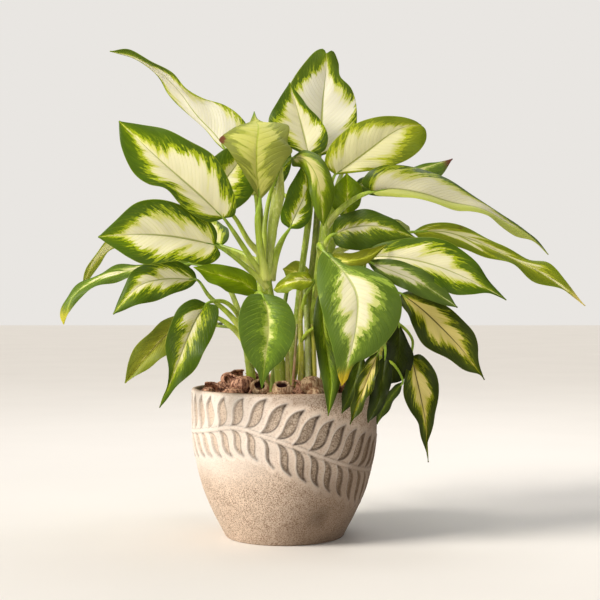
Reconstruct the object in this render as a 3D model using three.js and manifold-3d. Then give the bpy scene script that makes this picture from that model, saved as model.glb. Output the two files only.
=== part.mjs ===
// Potted dieffenbachia: a pot with a vine relief, soil, dried pods and seven leafy shoots.
// Millimetres, +Z up, the front towards -Y, the origin at the centre of the pot's foot.
import * as THREE from 'three';
import { mergeVertices } from 'three/addons/utils/BufferGeometryUtils.js';
import Module from 'manifold-3d';

// Driving dimensions
const potHeight = 175;
const footRadius = 70;
const wallThickness = 6.5;
const floorThickness = 9;
const soilTop = 162;
const gap = 0.35;
const bladeThickness = 1.1;
const grooveDepth = 1.9;
const podFloor = soilTop + gap;

// The pot's outer radius at heights above its foot
const potOutline = [
  [0, footRadius], [8, 74], [24, 82.5], [41, 90.4], [58, 97], [76, 102],
  [96, 106.4], [118, 109.4], [141, 110], [175, 110],
];

// Stem and leaf points are [across, up, back] on a sheet through the pot's axis as seen by
// an eye in front of the plant. A point further back is spread out from that eye.
const eye = new THREE.Vector3(18.4, -1450, 279);

function sight([across, up, back]) {
  const spread = (back - eye.y) / -eye.y;
  return new THREE.Vector3(
    eye.x + (across - eye.x) * spread,
    back,
    eye.z + (up - eye.z) * spread,
  );
}

const wasm = await Module();
wasm.setup();

function toSolid(geometry) {
  const bare = geometry.clone();
  bare.deleteAttribute('normal');
  bare.deleteAttribute('uv');
  const merged = mergeVertices(bare, 1e-4);
  let triVerts = new Uint32Array(merged.index.array);
  const vertProperties = new Float32Array(merged.attributes.position.array);
  let solid = new wasm.Manifold(new wasm.Mesh({ numProp: 3, vertProperties, triVerts }));
  if (solid.volume() < 0) {
    triVerts = triVerts.slice();
    for (let i = 0; i < triVerts.length; i += 3) {
      const kept = triVerts[i];
      triVerts[i] = triVerts[i + 1];
      triVerts[i + 1] = kept;
    }
    solid = new wasm.Manifold(new wasm.Mesh({ numProp: 3, vertProperties, triVerts }));
  }
  return solid;
}

function toGeometry(solid) {
  const mesh = solid.getMesh();
  const geometry = new THREE.BufferGeometry();
  geometry.setAttribute('position', new THREE.BufferAttribute(mesh.vertProperties, 3));
  geometry.setIndex(new THREE.BufferAttribute(mesh.triVerts, 1));
  geometry.computeVertexNormals();
  return geometry;
}

function joined(solids) {
  let whole = solids[0];
  for (const solid of solids.slice(1)) {
    whole = whole.add(solid);
  }
  return whole;
}

function largestPiece(solid) {
  const pieces = solid.decompose();
  pieces.sort((a, b) => b.volume() - a.volume());
  return pieces[0];
}

const plant = new THREE.Group();

function addNode(name, geometry, colour, roughness) {
  const material = new THREE.MeshStandardMaterial({ color: colour, roughness, metalness: 0 });
  const mesh = new THREE.Mesh(geometry, material);
  mesh.name = name;
  plant.add(mesh);
  return mesh;
}

function potRadius(height) {
  for (let i = 1; i < potOutline.length; i += 1) {
    const [z1, r1] = potOutline[i];
    const [z0, r0] = potOutline[i - 1];
    if (height <= z1) {
      return r0 + ((r1 - r0) * (height - z0)) / (z1 - z0);
    }
  }
  return potOutline[potOutline.length - 1][1];
}

// Round stems: a ring of one millimetre swept along a curve, then thickened by its radii
function stem(points, radii, sides, steps) {
  const curve = new THREE.CatmullRomCurve3(points, false, 'centripetal');
  const ring = new THREE.Shape();
  for (let i = 0; i < sides; i += 1) {
    const angle = (2 * Math.PI * i) / sides;
    if (i === 0) {
      ring.moveTo(Math.cos(angle), Math.sin(angle));
    } else {
      ring.lineTo(Math.cos(angle), Math.sin(angle));
    }
  }
  ring.closePath();
  const geometry = new THREE.ExtrudeGeometry(ring, { steps, extrudePath: curve, bevelEnabled: false });
  const centres = curve.getSpacedPoints(steps);
  const position = geometry.attributes.position;
  const corner = new THREE.Vector3();
  for (let i = 0; i < position.count; i += 1) {
    corner.fromBufferAttribute(position, i);
    let nearest = 0;
    for (let k = 1; k <= steps; k += 1) {
      if (corner.distanceToSquared(centres[k]) < corner.distanceToSquared(centres[nearest])) {
        nearest = k;
      }
    }
    const along = (nearest / steps) * (radii.length - 1);
    const low = Math.min(Math.floor(along), radii.length - 2);
    const radius = THREE.MathUtils.lerp(radii[low], radii[low + 1], along - low);
    corner.sub(centres[nearest]).multiplyScalar(radius).add(centres[nearest]);
    position.setXYZ(i, corner.x, corner.y, corner.z);
  }
  return geometry;
}

// A leaf's three rails from base to tip: its left edge, its midrib and its right edge
function drawnRails(leaf, rows) {
  const rib = new THREE.CatmullRomCurve3(leaf.rib.map(sight), false, 'centripetal').getSpacedPoints(rows);
  const sides = [leaf.left, leaf.right].map((edge, k) => {
    const flat = [leaf.rib[0], ...edge, leaf.rib[leaf.rib.length - 1]]
      .map(([across, up]) => new THREE.Vector3(across, up, 0));
    return new THREE.CatmullRomCurve3(flat, false, 'centripetal').getSpacedPoints(rows)
      .map((p, i) => {
        const forward = leaf.near[k] * Math.sin((Math.PI * i) / rows) ** 0.8;
        return sight([p.x, p.y, rib[i].y - forward]);
      });
  });
  return [sides[0], rib, sides[1]];
}

function halfWidth(along) {
  const belly = 0.42;
  if (along < belly) {
    return Math.max(1 - (1 - along / belly) ** 2, 0) ** 0.6;
  }
  return Math.max(Math.cos((Math.PI / 2) * ((along - belly) / (1 - belly))), 0) ** 1.2;
}

function directions(points) {
  return points.map((point, i) => {
    const before = points[Math.max(i - 1, 0)];
    const after = points[Math.min(i + 1, points.length - 1)];
    return after.clone().sub(before).normalize();
  });
}

function spreadRails(leaf, rows) {
  const rib = new THREE.CatmullRomCurve3(leaf.rib.map(sight), false, 'centripetal').getSpacedPoints(rows);
  const tangents = directions(rib);
  const facing = new THREE.Vector3(...leaf.face);
  const lift = THREE.MathUtils.degToRad(leaf.lift);
  const edges = [-1, 1].map((sign) => rib.map((point, i) => {
    const normal = facing.clone().addScaledVector(tangents[i], -facing.dot(tangents[i])).normalize();
    const across = tangents[i].clone().cross(normal);
    const half = (leaf.wide / 2) * halfWidth(i / rows);
    return point.clone()
      .addScaledVector(across, sign * Math.cos(lift) * half)
      .addScaledVector(normal, Math.sin(lift) * half);
  }));
  return [edges[0], rib, edges[1]];
}

function leafRows(leaf) {
  const rib = new THREE.CatmullRomCurve3(leaf.rib.map(sight), false, 'centripetal');
  return THREE.MathUtils.clamp(Math.round(rib.getLength() / 26), 4, 9);
}

function leafRails(leaf, rows) {
  const found = leaf.face ? spreadRails(leaf, rows) : drawnRails(leaf, rows);
  const [left, rib, right] = found;
  const tangents = directions(rib);
  // Base and tip keep a millimetre of width
  for (const i of [0, rows]) {
    const inner = i === 0 ? 1 : rows - 1;
    const across = right[inner].clone().sub(left[inner]);
    across.addScaledVector(tangents[i], -across.dot(tangents[i])).setLength(0.9);
    left[i].copy(rib[i]).sub(across);
    right[i].copy(rib[i]).add(across);
  }
  return found;
}

// A blade: both halves bulge a little, the top and underside are a blade's thickness apart
function blade(leaf) {
  const rows = leafRows(leaf);
  const [left, rib, right] = leafRails(leaf, rows);
  const middle = Math.round(rows / 2);
  const tangents = directions(rib);
  const across = right[middle].clone().sub(left[middle]);
  const facing = tangents[middle].clone().cross(across).normalize();
  const viewer = new THREE.Vector3(0, -1, 0.7);
  const turned = facing.dot(viewer) > 0 ? 1 : -1;
  const large = rib[0].distanceTo(rib[rows]) > 138;
  const fractions = large ? [-1, -0.5, 0, 0.5, 1] : [-1, 0, 1];
  const corners = [];
  for (let i = 0; i <= rows; i += 1) {
    const span = right[i].clone().sub(left[i]);
    const up = tangents[i].clone().cross(span).normalize().multiplyScalar(turned);
    const line = fractions.map((f) => {
      const edge = f < 0 ? left[i] : right[i];
      const bulge = 0.1 * span.length() * Math.abs(f) * (1 - Math.abs(f));
      return rib[i].clone().lerp(edge, Math.abs(f)).addScaledVector(up, bulge);
    });
    const top = line.map((p) => p.clone().addScaledVector(up, bladeThickness / 2));
    const under = line.map((p) => p.clone().addScaledVector(up, -bladeThickness / 2)).reverse();
    corners.push([...top, ...under]);
  }
  const ring = corners[0].length;
  const columns = fractions.length;
  const faces = [];
  for (let i = 0; i < rows; i += 1) {
    for (let j = 0; j < ring; j += 1) {
      const a = i * ring + j;
      const b = i * ring + ((j + 1) % ring);
      // Both faces are split along the same diagonal
      if (j < columns - 1) {
        faces.push(a, b, b + ring, a, b + ring, a + ring);
      } else {
        faces.push(a, b, a + ring, b, b + ring, a + ring);
      }
    }
  }
  for (const [row, order] of [[0, 1], [rows, -1]]) {
    for (let j = 0; j < columns - 1; j += 1) {
      const a = row * ring + j;
      const b = row * ring + j + 1;
      const c = row * ring + ring - 2 - j;
      const d = row * ring + ring - 1 - j;
      if (order > 0) {
        faces.push(a, c, b, a, d, c);
      } else {
        faces.push(a, b, c, a, c, d);
      }
    }
  }
  const geometry = new THREE.BufferGeometry();
  const flat = corners.flat().flatMap((p) => [p.x, p.y, p.z]);
  geometry.setAttribute('position', new THREE.Float32BufferAttribute(flat, 3));
  geometry.setIndex(faces);
  return geometry;
}

// A leaf stalk runs from its cane to the blade and a little way under the midrib
function leafStalk(leaf) {
  const rib = new THREE.CatmullRomCurve3(leaf.rib.map(sight), false, 'centripetal').getSpacedPoints(12);
  const points = [...leaf.stalk.map(sight), rib[0], rib[1]];
  const length = new THREE.CatmullRomCurve3(points, false, 'centripetal').getLength();
  const steps = THREE.MathUtils.clamp(Math.round(length / 24), 3, 6);
  const [low, high] = leaf.thick ?? [3.6, 2.2];
  return stem(points, [low, (low + high) / 2, high, 1.2], 4, steps);
}

const shoots = [
  {
    name: 'shoot_left',
    colour: 0x8fa03a,
    cane: [[-37, 131, -40], [-40, 190, -44], [-45, 222, -46], [-50, 246, -47]],
    radii: [6, 5.8, 5, 3.4],
    leaves: [
      {
        name: 'leaf_left_low', near: [2, 12],
        stalk: [[-45, 232, -47], [-56, 262, -58], [-72, 277, -74]],
        rib: [[-92, 275, -92], [-104, 258, -104], [-116, 232, -114], [-130, 196, -118], [-149, 151, -112]],
        left: [[-108, 280], [-124, 272], [-134, 254], [-142, 226], [-138, 196], [-141, 172]],
        right: [[-80, 272], [-78, 258], [-88, 234], [-100, 206], [-120, 184], [-136, 166]],
      },
      {
        name: 'leaf_left_olive', near: [8, 8],
        stalk: [[-44, 226, -47], [-62, 246, -50], [-84, 259, -52]],
        rib: [[-112, 256, -54], [-140, 238, -62], [-166, 210, -68], [-190, 180, -70]],
        left: [[-116, 236], [-130, 220], [-152, 205], [-174, 190]],
        right: [[-122, 262], [-143, 255], [-158, 243], [-171, 231], [-181, 217], [-187, 202]],
      },
      {
        name: 'leaf_front_heart', near: [8, 4],
        stalk: [[-45, 236, -47], [-41, 268, -58], [-33, 287, -76]],
        rib: [[-27, 286, -88], [-20, 266, -96], [-19, 240, -104], [-23, 210, -108], [-27, 174, -104]],
        left: [[-40, 287], [-54, 268], [-55, 248], [-46, 220], [-34, 198]],
        right: [[-16, 282], [2, 272], [14, 252], [12, 228], [0, 207], [-18, 191]],
      },
      {
        name: 'leaf_left_middle', near: [8, -8],
        stalk: [[-47, 240, -47], [-66, 262, -50], [-90, 284, -53]],
        rib: [[-104, 303, -56], [-140, 304, -62], [-172, 296, -72], [-204, 262, -84]],
        left: [[-110, 296], [-140, 283], [-162, 276], [-184, 270]],
        right: [[-108, 314], [-130, 326], [-158, 325], [-180, 314], [-190, 296], [-198, 280]],
      },
      {
        name: 'leaf_left_narrow', near: [10, -12],
        stalk: [[-49, 244, -46], [-57, 272, -30], [-67, 294, -12], [-86, 314, 6]],
        rib: [[-110, 322, 16], [-160, 317, 14], [-200, 311, 10], [-228, 301, 8], [-252, 282, 5], [-263, 250, 2]],
        left: [[-130, 306], [-170, 306], [-208, 300], [-227, 292], [-246, 280], [-256, 264]],
        right: [[-130, 330], [-165, 324], [-206, 317], [-236, 303], [-254, 288], [-266, 272], [-267, 259]],
      },
    ],
  },
  {
    name: 'shoot_centre',
    colour: 0x7c9434,
    cane: [[-5, 130, -12], [-5, 190, -12], [-12, 240, -14], [-20, 296, -18], [-22, 312, -18]],
    radii: [7.4, 7, 6.6, 6.8, 5],
    leaves: [
      {
        name: 'leaf_left_large', near: [8, 10], thick: [4, 2.6],
        stalk: [[-21, 300, -18], [-36, 322, -26], [-54, 350, -38]],
        rib: [[-72, 376, -52], [-98, 401, -70], [-122, 422, -80], [-150, 447, -84], [-197, 492, -78]],
        left: [[-92, 372], [-122, 391], [-142, 411], [-162, 417], [-180, 431], [-194, 460], [-197, 482]],
        right: [[-60, 379], [-58, 396], [-66, 422], [-84, 450], [-112, 468], [-140, 482], [-172, 488]],
      },
      {
        name: 'leaf_left_broad', near: [14, 2],
        stalk: [[-20, 294, -20], [-42, 315, -30], [-64, 333, -38]],
        rib: [[-82, 344, -44], [-108, 350, -54], [-138, 355, -64], [-175, 357, -76], [-222, 354, -84]],
        left: [[-76, 333], [-92, 321], [-130, 325], [-168, 322], [-186, 329], [-202, 340]],
        right: [[-80, 358], [-88, 372], [-110, 386], [-138, 397], [-158, 399], [-178, 394], [-204, 371]],
      },
      {
        name: 'leaf_plain_green', near: [10, 0],
        stalk: [[-19, 282, -18], [-24, 285, -24]],
        rib: [[-32, 288, -32], [-55, 302, -48], [-80, 309, -60], [-108, 318, -72]],
        left: [[-42, 284], [-60, 287], [-78, 294], [-94, 304]],
        right: [[-34, 303], [-48, 314], [-68, 320], [-88, 322]],
      },
      {
        name: 'leaf_top_underside', near: [-2, 6], thick: [5.4, 3.8],
        stalk: [[-22, 302, -20], [-29, 342, -26], [-32, 378, -28]],
        rib: [[-29, 398, -30], [-33, 430, -46], [-33, 462, -50], [-31, 484, -34], [-33, 490, -4], [-36, 503, 34]],
        left: [[-38, 412], [-54, 438], [-68, 456], [-76, 470], [-66, 487], [-50, 490], [-40, 496]],
        right: [[-18, 410], [0, 438], [9, 462], [4, 482], [-14, 491], [-28, 496]],
      },
      {
        name: 'leaf_centre_small', near: [6, 6],
        stalk: [[-19, 304, -16], [-10, 334, -8], [-2, 352, 0]],
        rib: [[6, 364, 8], [14, 382, 10], [23, 402, 8], [26, 424, 4], [20, 438, 2]],
        left: [[-4, 372], [-2, 392], [8, 418]],
        right: [[20, 364], [30, 374], [33, 398], [31, 424]],
      },
      {
        name: 'leaf_centre_drooping', near: [2, -10],
        stalk: [[-21, 306, -14], [-24, 360, 2], [-16, 408, 8], [-3, 438, -2]],
        rib: [[8, 448, -16], [24, 446, -40], [38, 426, -62], [43, 400, -72], [46, 367, -74]],
        left: [[10, 438], [20, 436], [28, 420], [32, 398], [38, 380]],
        right: [[22, 458], [40, 450], [54, 434], [59, 410], [56, 388]],
      },
    ],
    spears: [{ path: [[-19, 300, -18], [-17, 340, -17], [-13, 372, -16], [-7, 404, -14], [-3, 437, -12]], radii: [4, 4.4, 6.4, 7.6, 1] }],
  },
  {
    name: 'shoot_middle',
    colour: 0xa9a266,
    cane: [[8, 131, 10], [8, 190, 12], [11, 225, 15], [15, 262, 20], [20, 310, 24], [28, 370, 24], [34, 432, 22]],
    radii: [5.6, 5.4, 5.2, 5, 5.4, 5.4, 4.4],
    leaves: [
      {
        name: 'leaf_top', near: [8, 6], thick: [3.6, 2.6],
        stalk: [[34, 428, 22], [38, 440, 32]],
        rib: [[42, 450, 40], [44, 486, 52], [46, 520, 58], [49, 548, 58], [50, 578, 52]],
        left: [[16, 460], [-4, 484], [-4, 512], [10, 542], [26, 564], [40, 576]],
        right: [[66, 458], [84, 480], [86, 504], [80, 530], [66, 548], [62, 566]],
      },
      {
        name: 'leaf_top_folded', near: [4, 10],
        stalk: [[34, 424, 21], [32, 438, 15]],
        rib: [[29, 450, 10], [24, 472, 18], [18, 496, 24], [12, 518, 26], [6, 538, 26]],
        left: [[10, 458], [-14, 474], [-19, 494], [-8, 516]],
        right: [[48, 458], [52, 474], [42, 494], [24, 514]],
      },
      {
        name: 'leaf_middle_round', near: [2, 2], thick: [3, 1.8],
        stalk: [[18, 290, 22], [26, 291, 34]],
        rib: [[34, 294, 44], [18, 310, 52], [-2, 316, 56]],
        left: [[24, 294], [6, 300]],
        right: [[32, 312], [14, 326]],
      },
      {
        name: 'leaf_middle_low', near: [2, 2], thick: [3.4, 1.8],
        stalk: [[9, 176, 10], [15, 204, -4], [20, 230, -18], [36, 246, -32], [62, 244, -50], [82, 230, -66]],
        rib: [[92, 216, -76], [84, 184, -92], [76, 162, -98], [68, 144, -98]],
        left: [[80, 206], [72, 180], [68, 162]],
        right: [[100, 190], [94, 168], [78, 152]],
      },
      {
        name: 'leaf_middle_yellow', near: [10, -2], thick: [4.4, 2.4],
        stalk: [[12, 238, 16], [20, 262, -2], [26, 286, -20]],
        rib: [[36, 302, -32], [18, 303, -40], [0, 298, -40], [-13, 291, -38]],
        left: [[30, 294], [8, 290], [-8, 287]],
        right: [[26, 312], [6, 310], [-8, 299]],
      },
      {
        name: 'leaf_back_top', wide: 72, face: [0, 0.6, 0.8], lift: 14,
        stalk: [[34, 426, 24], [33, 438, 52]],
        rib: [[30, 448, 84], [26, 486, 116], [22, 508, 162], [20, 496, 214]],
      },
      {
        name: 'leaf_back_centre', wide: 74, face: [0, 0.5, 0.85], lift: 14,
        stalk: [[29, 376, 26], [12, 396, 52]],
        rib: [[-16, 414, 80], [-24, 444, 118], [-30, 456, 172], [-36, 438, 226]],
      },
      {
        name: 'leaf_back_low', wide: 60, face: [0, 0.7, 0.7], lift: 14,
        stalk: [[10, 214, 14], [-2, 236, 44]],
        rib: [[-12, 246, 76], [-22, 258, 116], [-24, 242, 168], [-22, 204, 204]],
      },
    ],
  },
  {
    name: 'shoot_right_front',
    colour: 0x7f9440,
    cane: [[30, 130, -10], [31, 200, -11], [36, 262, -14], [44, 330, -18], [50, 388, -14]],
    radii: [6.4, 6.4, 6.6, 7.2, 5],
    leaves: [
      {
        name: 'leaf_right_yellow_oval', near: [6, 2],
        stalk: [[49, 378, -15], [53, 404, -11]],
        rib: [[60, 428, -6], [86, 446, -16], [112, 464, -22], [140, 478, -22], [168, 486, -16]],
        left: [[48, 440], [54, 462], [78, 485], [110, 497], [142, 498]],
        right: [[80, 430], [120, 436], [146, 446], [164, 462]],
      },
      {
        name: 'leaf_right_long', near: [-26, 10], thick: [4, 2.6],
        stalk: [[48, 366, -16], [68, 388, -18], [88, 402, -21]],
        rib: [[104, 408, -26], [130, 411, -44], [162, 406, -54], [198, 395, -58], [236, 387, -60], [268, 369, -58],
          [292, 355, -55], [314, 333, -52]],
        left: [[92, 418], [101, 432], [114, 438], [134, 440], [160, 437], [190, 425], [218, 406], [250, 387],
          [270, 374], [286, 361], [300, 350]],
        right: [[108, 404], [130, 402], [152, 400], [176, 394], [204, 387], [222, 386], [241, 379], [256, 366],
          [275, 355], [296, 350]],
      },
      {
        name: 'leaf_right_dark', near: [-6, 2],
        stalk: [[46, 342, -18], [51, 350, -23]],
        rib: [[56, 356, -30], [84, 366, -46], [118, 366, -58], [156, 353, -64]],
        left: [[60, 374], [84, 386], [108, 385], [134, 372]],
        right: [[62, 344], [90, 338], [126, 342]],
      },
      {
        name: 'leaf_front_largest', near: [12, 14], thick: [4, 2.8],
        stalk: [[44, 328, -18], [41, 342, -34], [42, 344, -52]],
        rib: [[46, 338, -66], [74, 308, -92], [86, 284, -104], [86, 256, -110], [80, 222, -112], [68, 177, -106]],
        left: [[40, 326], [38, 300], [42, 276], [52, 240], [60, 208]],
        right: [[70, 326], [102, 314], [130, 299], [140, 274], [134, 250], [112, 224], [84, 204]],
      },
      {
        name: 'leaf_front_long_dark', near: [2, 2],
        stalk: [[38, 282, -15], [41, 298, -38]],
        rib: [[45, 294, -62], [46, 250, -74], [52, 206, -88], [56, 180, -106], [54, 160, -112], [52, 141, -114]],
        left: [[38, 280], [34, 244], [40, 208], [46, 176]],
        right: [[56, 272], [68, 230], [68, 190], [60, 160]],
      },
    ],
  },
  {
    name: 'shoot_right',
    colour: 0x83923c,
    cane: [[60, 131, -20], [62, 180, -22], [74, 215, -24], [84, 246, -26]],
    radii: [6.2, 6, 5.8, 4.4],
    leaves: [
      {
        name: 'leaf_right_large', near: [-4, 12], thick: [4, 2.6],
        stalk: [[80, 232, -25], [87, 272, -34], [91, 304, -44]],
        rib: [[96, 330, -54], [130, 330, -72], [172, 322, -84], [214, 306, -90], [264, 279, -86]],
        left: [[104, 342], [130, 350], [162, 354], [196, 348], [226, 326], [244, 302]],
        right: [[112, 322], [140, 312], [172, 302], [196, 288], [222, 285], [246, 287]],
      },
      {
        name: 'leaf_right_slim', near: [-2, 2],
        stalk: [[82, 240, -26], [90, 276, -46], [95, 308, -64]],
        rib: [[98, 325, -78], [132, 312, -88], [164, 298, -98], [206, 270, -104]],
        left: [[112, 328], [140, 325], [168, 313], [190, 294]],
        right: [[108, 312], [134, 296], [162, 283], [186, 274]],
      },
      {
        name: 'leaf_right_hanging', near: [6, 6],
        stalk: [[82, 240, -25], [98, 268, -24], [120, 286, -24]],
        rib: [[138, 287, -30], [160, 271, -42], [186, 247, -52], [212, 219, -54], [238, 184, -50]],
        left: [[138, 276], [147, 262], [152, 248], [163, 229], [175, 219], [197, 207], [216, 195], [232, 190]],
        right: [[150, 290], [164, 286], [192, 272], [211, 257], [225, 241], [230, 226], [231, 208]],
      },
      {
        name: 'leaf_right_lowest', near: [4, 6], thick: [3, 1.8],
        stalk: [[78, 228, -24], [106, 254, -12], [136, 250, -4], [152, 232, -12]],
        rib: [[151, 212, -20], [156, 190, -30], [162, 164, -36], [168, 132, -36], [171, 86, -30]],
        left: [[145, 198], [142, 172], [148, 148], [160, 130], [165, 110]],
        right: [[162, 214], [178, 196], [184, 166], [178, 138], [171, 112]],
      },
      {
        name: 'leaf_right_shaded', near: [4, 4], thick: [3, 1.8],
        stalk: [[80, 234, -26], [104, 256, -26], [126, 262, -20]],
        rib: [[136, 252, -22], [136, 228, -28], [132, 202, -28], [122, 178, -20]],
        left: [[124, 236], [116, 210], [114, 190]],
        right: [[146, 232], [154, 208], [144, 186]],
      },
      {
        name: 'leaf_right_sliver', near: [4, -4], thick: [2.6, 1.6],
        stalk: [[70, 202, -23], [96, 214, -26], [128, 204, -32]],
        rib: [[141, 181, -36], [130, 168, -40], [118, 151, -44], [110, 131, -46]],
        left: [[132, 178], [118, 164], [110, 146]],
        right: [[138, 172], [128, 154], [116, 138]],
      },
      {
        name: 'leaf_rim_yellow', near: [4, 6], thick: [3, 1.8],
        stalk: [[83, 242, -26], [100, 248, -52], [112, 236, -78]],
        rib: [[112, 218, -96], [102, 194, -108], [90, 162, -120], [78, 131, -122]],
        left: [[100, 210], [86, 182], [80, 156]],
        right: [[112, 196], [104, 172], [90, 146]],
      },
      {
        name: 'leaf_rim_dark', near: [4, 2], thick: [3, 1.8],
        stalk: [[82, 238, -26], [102, 238, -42], [118, 228, -58]],
        rib: [[120, 214, -70], [116, 186, -80], [112, 158, -86], [99, 133, -92]],
        left: [[108, 200], [104, 172], [98, 150]],
        right: [[128, 196], [124, 168], [112, 144]],
      },
    ],
  },
  {
    name: 'shoot_back_right',
    colour: 0x76903a,
    cane: [[46, 135, 34], [50, 240, 42], [54, 320, 48], [58, 396, 46], [62, 414, 44]],
    radii: [6.2, 6, 6, 5.6, 4],
    leaves: [
      {
        name: 'leaf_right_behind', near: [-4, 6],
        stalk: [[59, 400, 46], [68, 408, 42]],
        rib: [[82, 414, 36], [115, 422, 50], [155, 433, 58], [200, 447, 58]],
        left: [[90, 424], [120, 430], [160, 439]],
        right: [[100, 404], [140, 406], [184, 424]],
      },
      {
        name: 'leaf_behind_stem', near: [4, 4], thick: [3, 1.8],
        stalk: [[56, 352, 47], [64, 364, 28]],
        rib: [[72, 376, 8], [74, 400, 14], [74, 430, 16]],
        left: [[58, 388], [56, 408]],
        right: [[88, 390], [92, 412]],
      },
      {
        name: 'leaf_far_right', near: [-6, 14], thick: [3.8, 2.4],
        stalk: [[56, 334, 47], [96, 350, 48], [128, 358, 44]],
        rib: [[152, 360, 42], [190, 360, 52], [230, 348, 58], [272, 328, 58], [310, 308, 54], [358, 272, 48]],
        left: [[168, 369], [192, 371], [220, 364], [256, 345], [290, 328], [314, 324], [334, 302]],
        right: [[162, 352], [196, 344], [236, 332], [270, 321], [296, 302], [330, 291]],
      },
      {
        name: 'leaf_back_right_upper', wide: 74, face: [0.2, 0.4, 0.9], lift: 14,
        stalk: [[60, 404, 47], [66, 424, 66]],
        rib: [[74, 440, 88], [94, 460, 130], [114, 468, 178], [132, 452, 234]],
      },
      {
        name: 'leaf_back_right_middle', wide: 72, face: [0.3, 0.3, 0.9], lift: 14,
        stalk: [[56, 344, 50], [66, 352, 66]],
        rib: [[78, 358, 86], [100, 368, 128], [126, 360, 180], [146, 332, 226]],
      },
      {
        name: 'leaf_back_right_low', wide: 72, face: [0.2, 0.5, 0.85], lift: 14,
        stalk: [[52, 268, 46], [58, 284, 66]],
        rib: [[66, 294, 88], [80, 304, 130], [94, 292, 184], [104, 256, 230]],
      },
      {
        name: 'leaf_back_right_hanging', wide: 54, face: [0.4, 0.6, 0.7], lift: 14,
        stalk: [[50, 226, 42], [64, 242, 56]],
        rib: [[82, 246, 76], [98, 240, 112], [112, 218, 154], [120, 182, 180]],
      },
    ],
  },
  {
    name: 'shoot_back_left',
    colour: 0x7d9238,
    cane: [[-22, 135, 30], [-26, 240, 40], [-28, 320, 48], [-32, 400, 52], [-38, 420, 54]],
    radii: [6.2, 6, 6, 5.6, 4],
    leaves: [
      {
        name: 'leaf_upper_left', near: [-8, 16], thick: [4, 2.4],
        stalk: [[-34, 406, 52], [-50, 432, 54]],
        rib: [[-66, 452, 56], [-80, 472, 58], [-105, 499, 62], [-126, 528, 64], [-148, 549, 60], [-178, 567, 52],
          [-208, 575, 44]],
        left: [[-79, 464], [-92, 480], [-112, 496], [-126, 510], [-138, 525], [-148, 541], [-162, 554], [-182, 568]],
        right: [[-52, 462], [-44, 484], [-54, 499], [-72, 511], [-97, 519], [-116, 532], [-132, 549], [-158, 561],
          [-186, 578]],
      },
      {
        name: 'leaf_left_curled', near: [-10, 14], thick: [3, 1.8],
        stalk: [[-28, 312, 46], [-58, 334, 46], [-94, 346, 42]],
        rib: [[-130, 352, 40], [-172, 353, 46], [-206, 345, 52], [-224, 328, 56], [-234, 311, 57], [-241, 292, 57]],
        left: [[-150, 344], [-185, 344], [-208, 336], [-221, 321], [-230, 306]],
        right: [[-150, 361], [-185, 361], [-212, 348], [-229, 329], [-238, 309]],
      },
      {
        name: 'leaf_left_behind', near: [4, 4],
        stalk: [[-29, 334, 47], [-42, 348, 40], [-60, 378, 32], [-78, 394, 26]],
        rib: [[-90, 398, 22], [-76, 416, 26], [-60, 436, 24], [-44, 462, 16]],
        left: [[-106, 410], [-104, 428], [-88, 446], [-64, 462]],
        right: [[-74, 384], [-56, 388], [-36, 410], [-32, 440]],
      },
      {
        name: 'leaf_back_left_upper', wide: 72, face: [-0.2, 0.2, 0.95], lift: 14,
        stalk: [[-35, 410, 56], [-50, 412, 72]],
        rib: [[-70, 412, 92], [-92, 430, 130], [-114, 438, 182], [-132, 424, 232]],
      },
      {
        name: 'leaf_back_left_middle', wide: 74, face: [-0.2, 0.2, 0.95], lift: 14,
        stalk: [[-28, 322, 52], [-50, 334, 66]],
        rib: [[-76, 344, 84], [-100, 360, 126], [-126, 364, 178], [-146, 344, 228]],
      },
      {
        name: 'leaf_back_left_low', wide: 56, face: [-0.3, 0.6, 0.7], lift: 14,
        stalk: [[-26, 226, 40], [-50, 244, 56]],
        rib: [[-80, 248, 78], [-98, 246, 116], [-110, 226, 160], [-116, 190, 188]],
      },
    ],
  },
];

for (const shoot of shoots) {
  const cane = shoot.cane.map(sight);
  const pieces = [toSolid(stem(cane, shoot.radii, 7, Math.round(cane[0].distanceTo(cane[cane.length - 1]) / 32)))];
  for (const leaf of shoot.leaves) {
    pieces.push(toSolid(leafStalk(leaf)));
    pieces.push(toSolid(blade(leaf)));
  }
  for (const spear of shoot.spears ?? []) {
    pieces.push(toSolid(stem(spear.path.map(sight), spear.radii, 6, 8)));
  }
  shoot.solid = largestPiece(joined(pieces));
  addNode(shoot.name, toGeometry(shoot.solid), shoot.colour, 0.45);
}

// Pot: turned wall with a rounded lip, then the relief's grooves cut into it
const lipRound = 2;
const profile = [
  new THREE.Vector2(0, 0),
  new THREE.Vector2(footRadius - 1.5, 0),
  ...potOutline.slice(0, -1).map(([z, r], i) => new THREE.Vector2(r, i === 0 ? 1.5 : z)),
  new THREE.Vector2(110, potHeight - lipRound),
  new THREE.Vector2(110 - lipRound, potHeight),
  new THREE.Vector2(110 - wallThickness + lipRound, potHeight),
  new THREE.Vector2(110 - wallThickness, potHeight - lipRound),
];
for (const height of [118, 76, 41]) {
  profile.push(new THREE.Vector2(potRadius(height) - wallThickness, height));
}
profile.push(new THREE.Vector2(potRadius(floorThickness) - wallThickness, floorThickness));
profile.push(new THREE.Vector2(0, floorThickness));
const potBody = new THREE.LatheGeometry(profile, 36);
potBody.rotateX(Math.PI / 2);

// Relief: a vine winds round the wall in two waves, with leaflets cut above and below it.
// Places on the wall are [round, up]: millimetres round from the front, and above the foot.
const wallRadius = 110;
const vineMiddle = 108;
const vineSwing = 28;
const vineSkew = 5.4;
const vineCrest = -52;
const leaflets = 38;
const firstLeaflet = 29;

function vineHeight(round) {
  const phase = (2 * (round - vineCrest)) / wallRadius;
  return vineMiddle + vineSwing * Math.cos(phase) - vineSkew * Math.sin(2 * phase);
}

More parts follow.
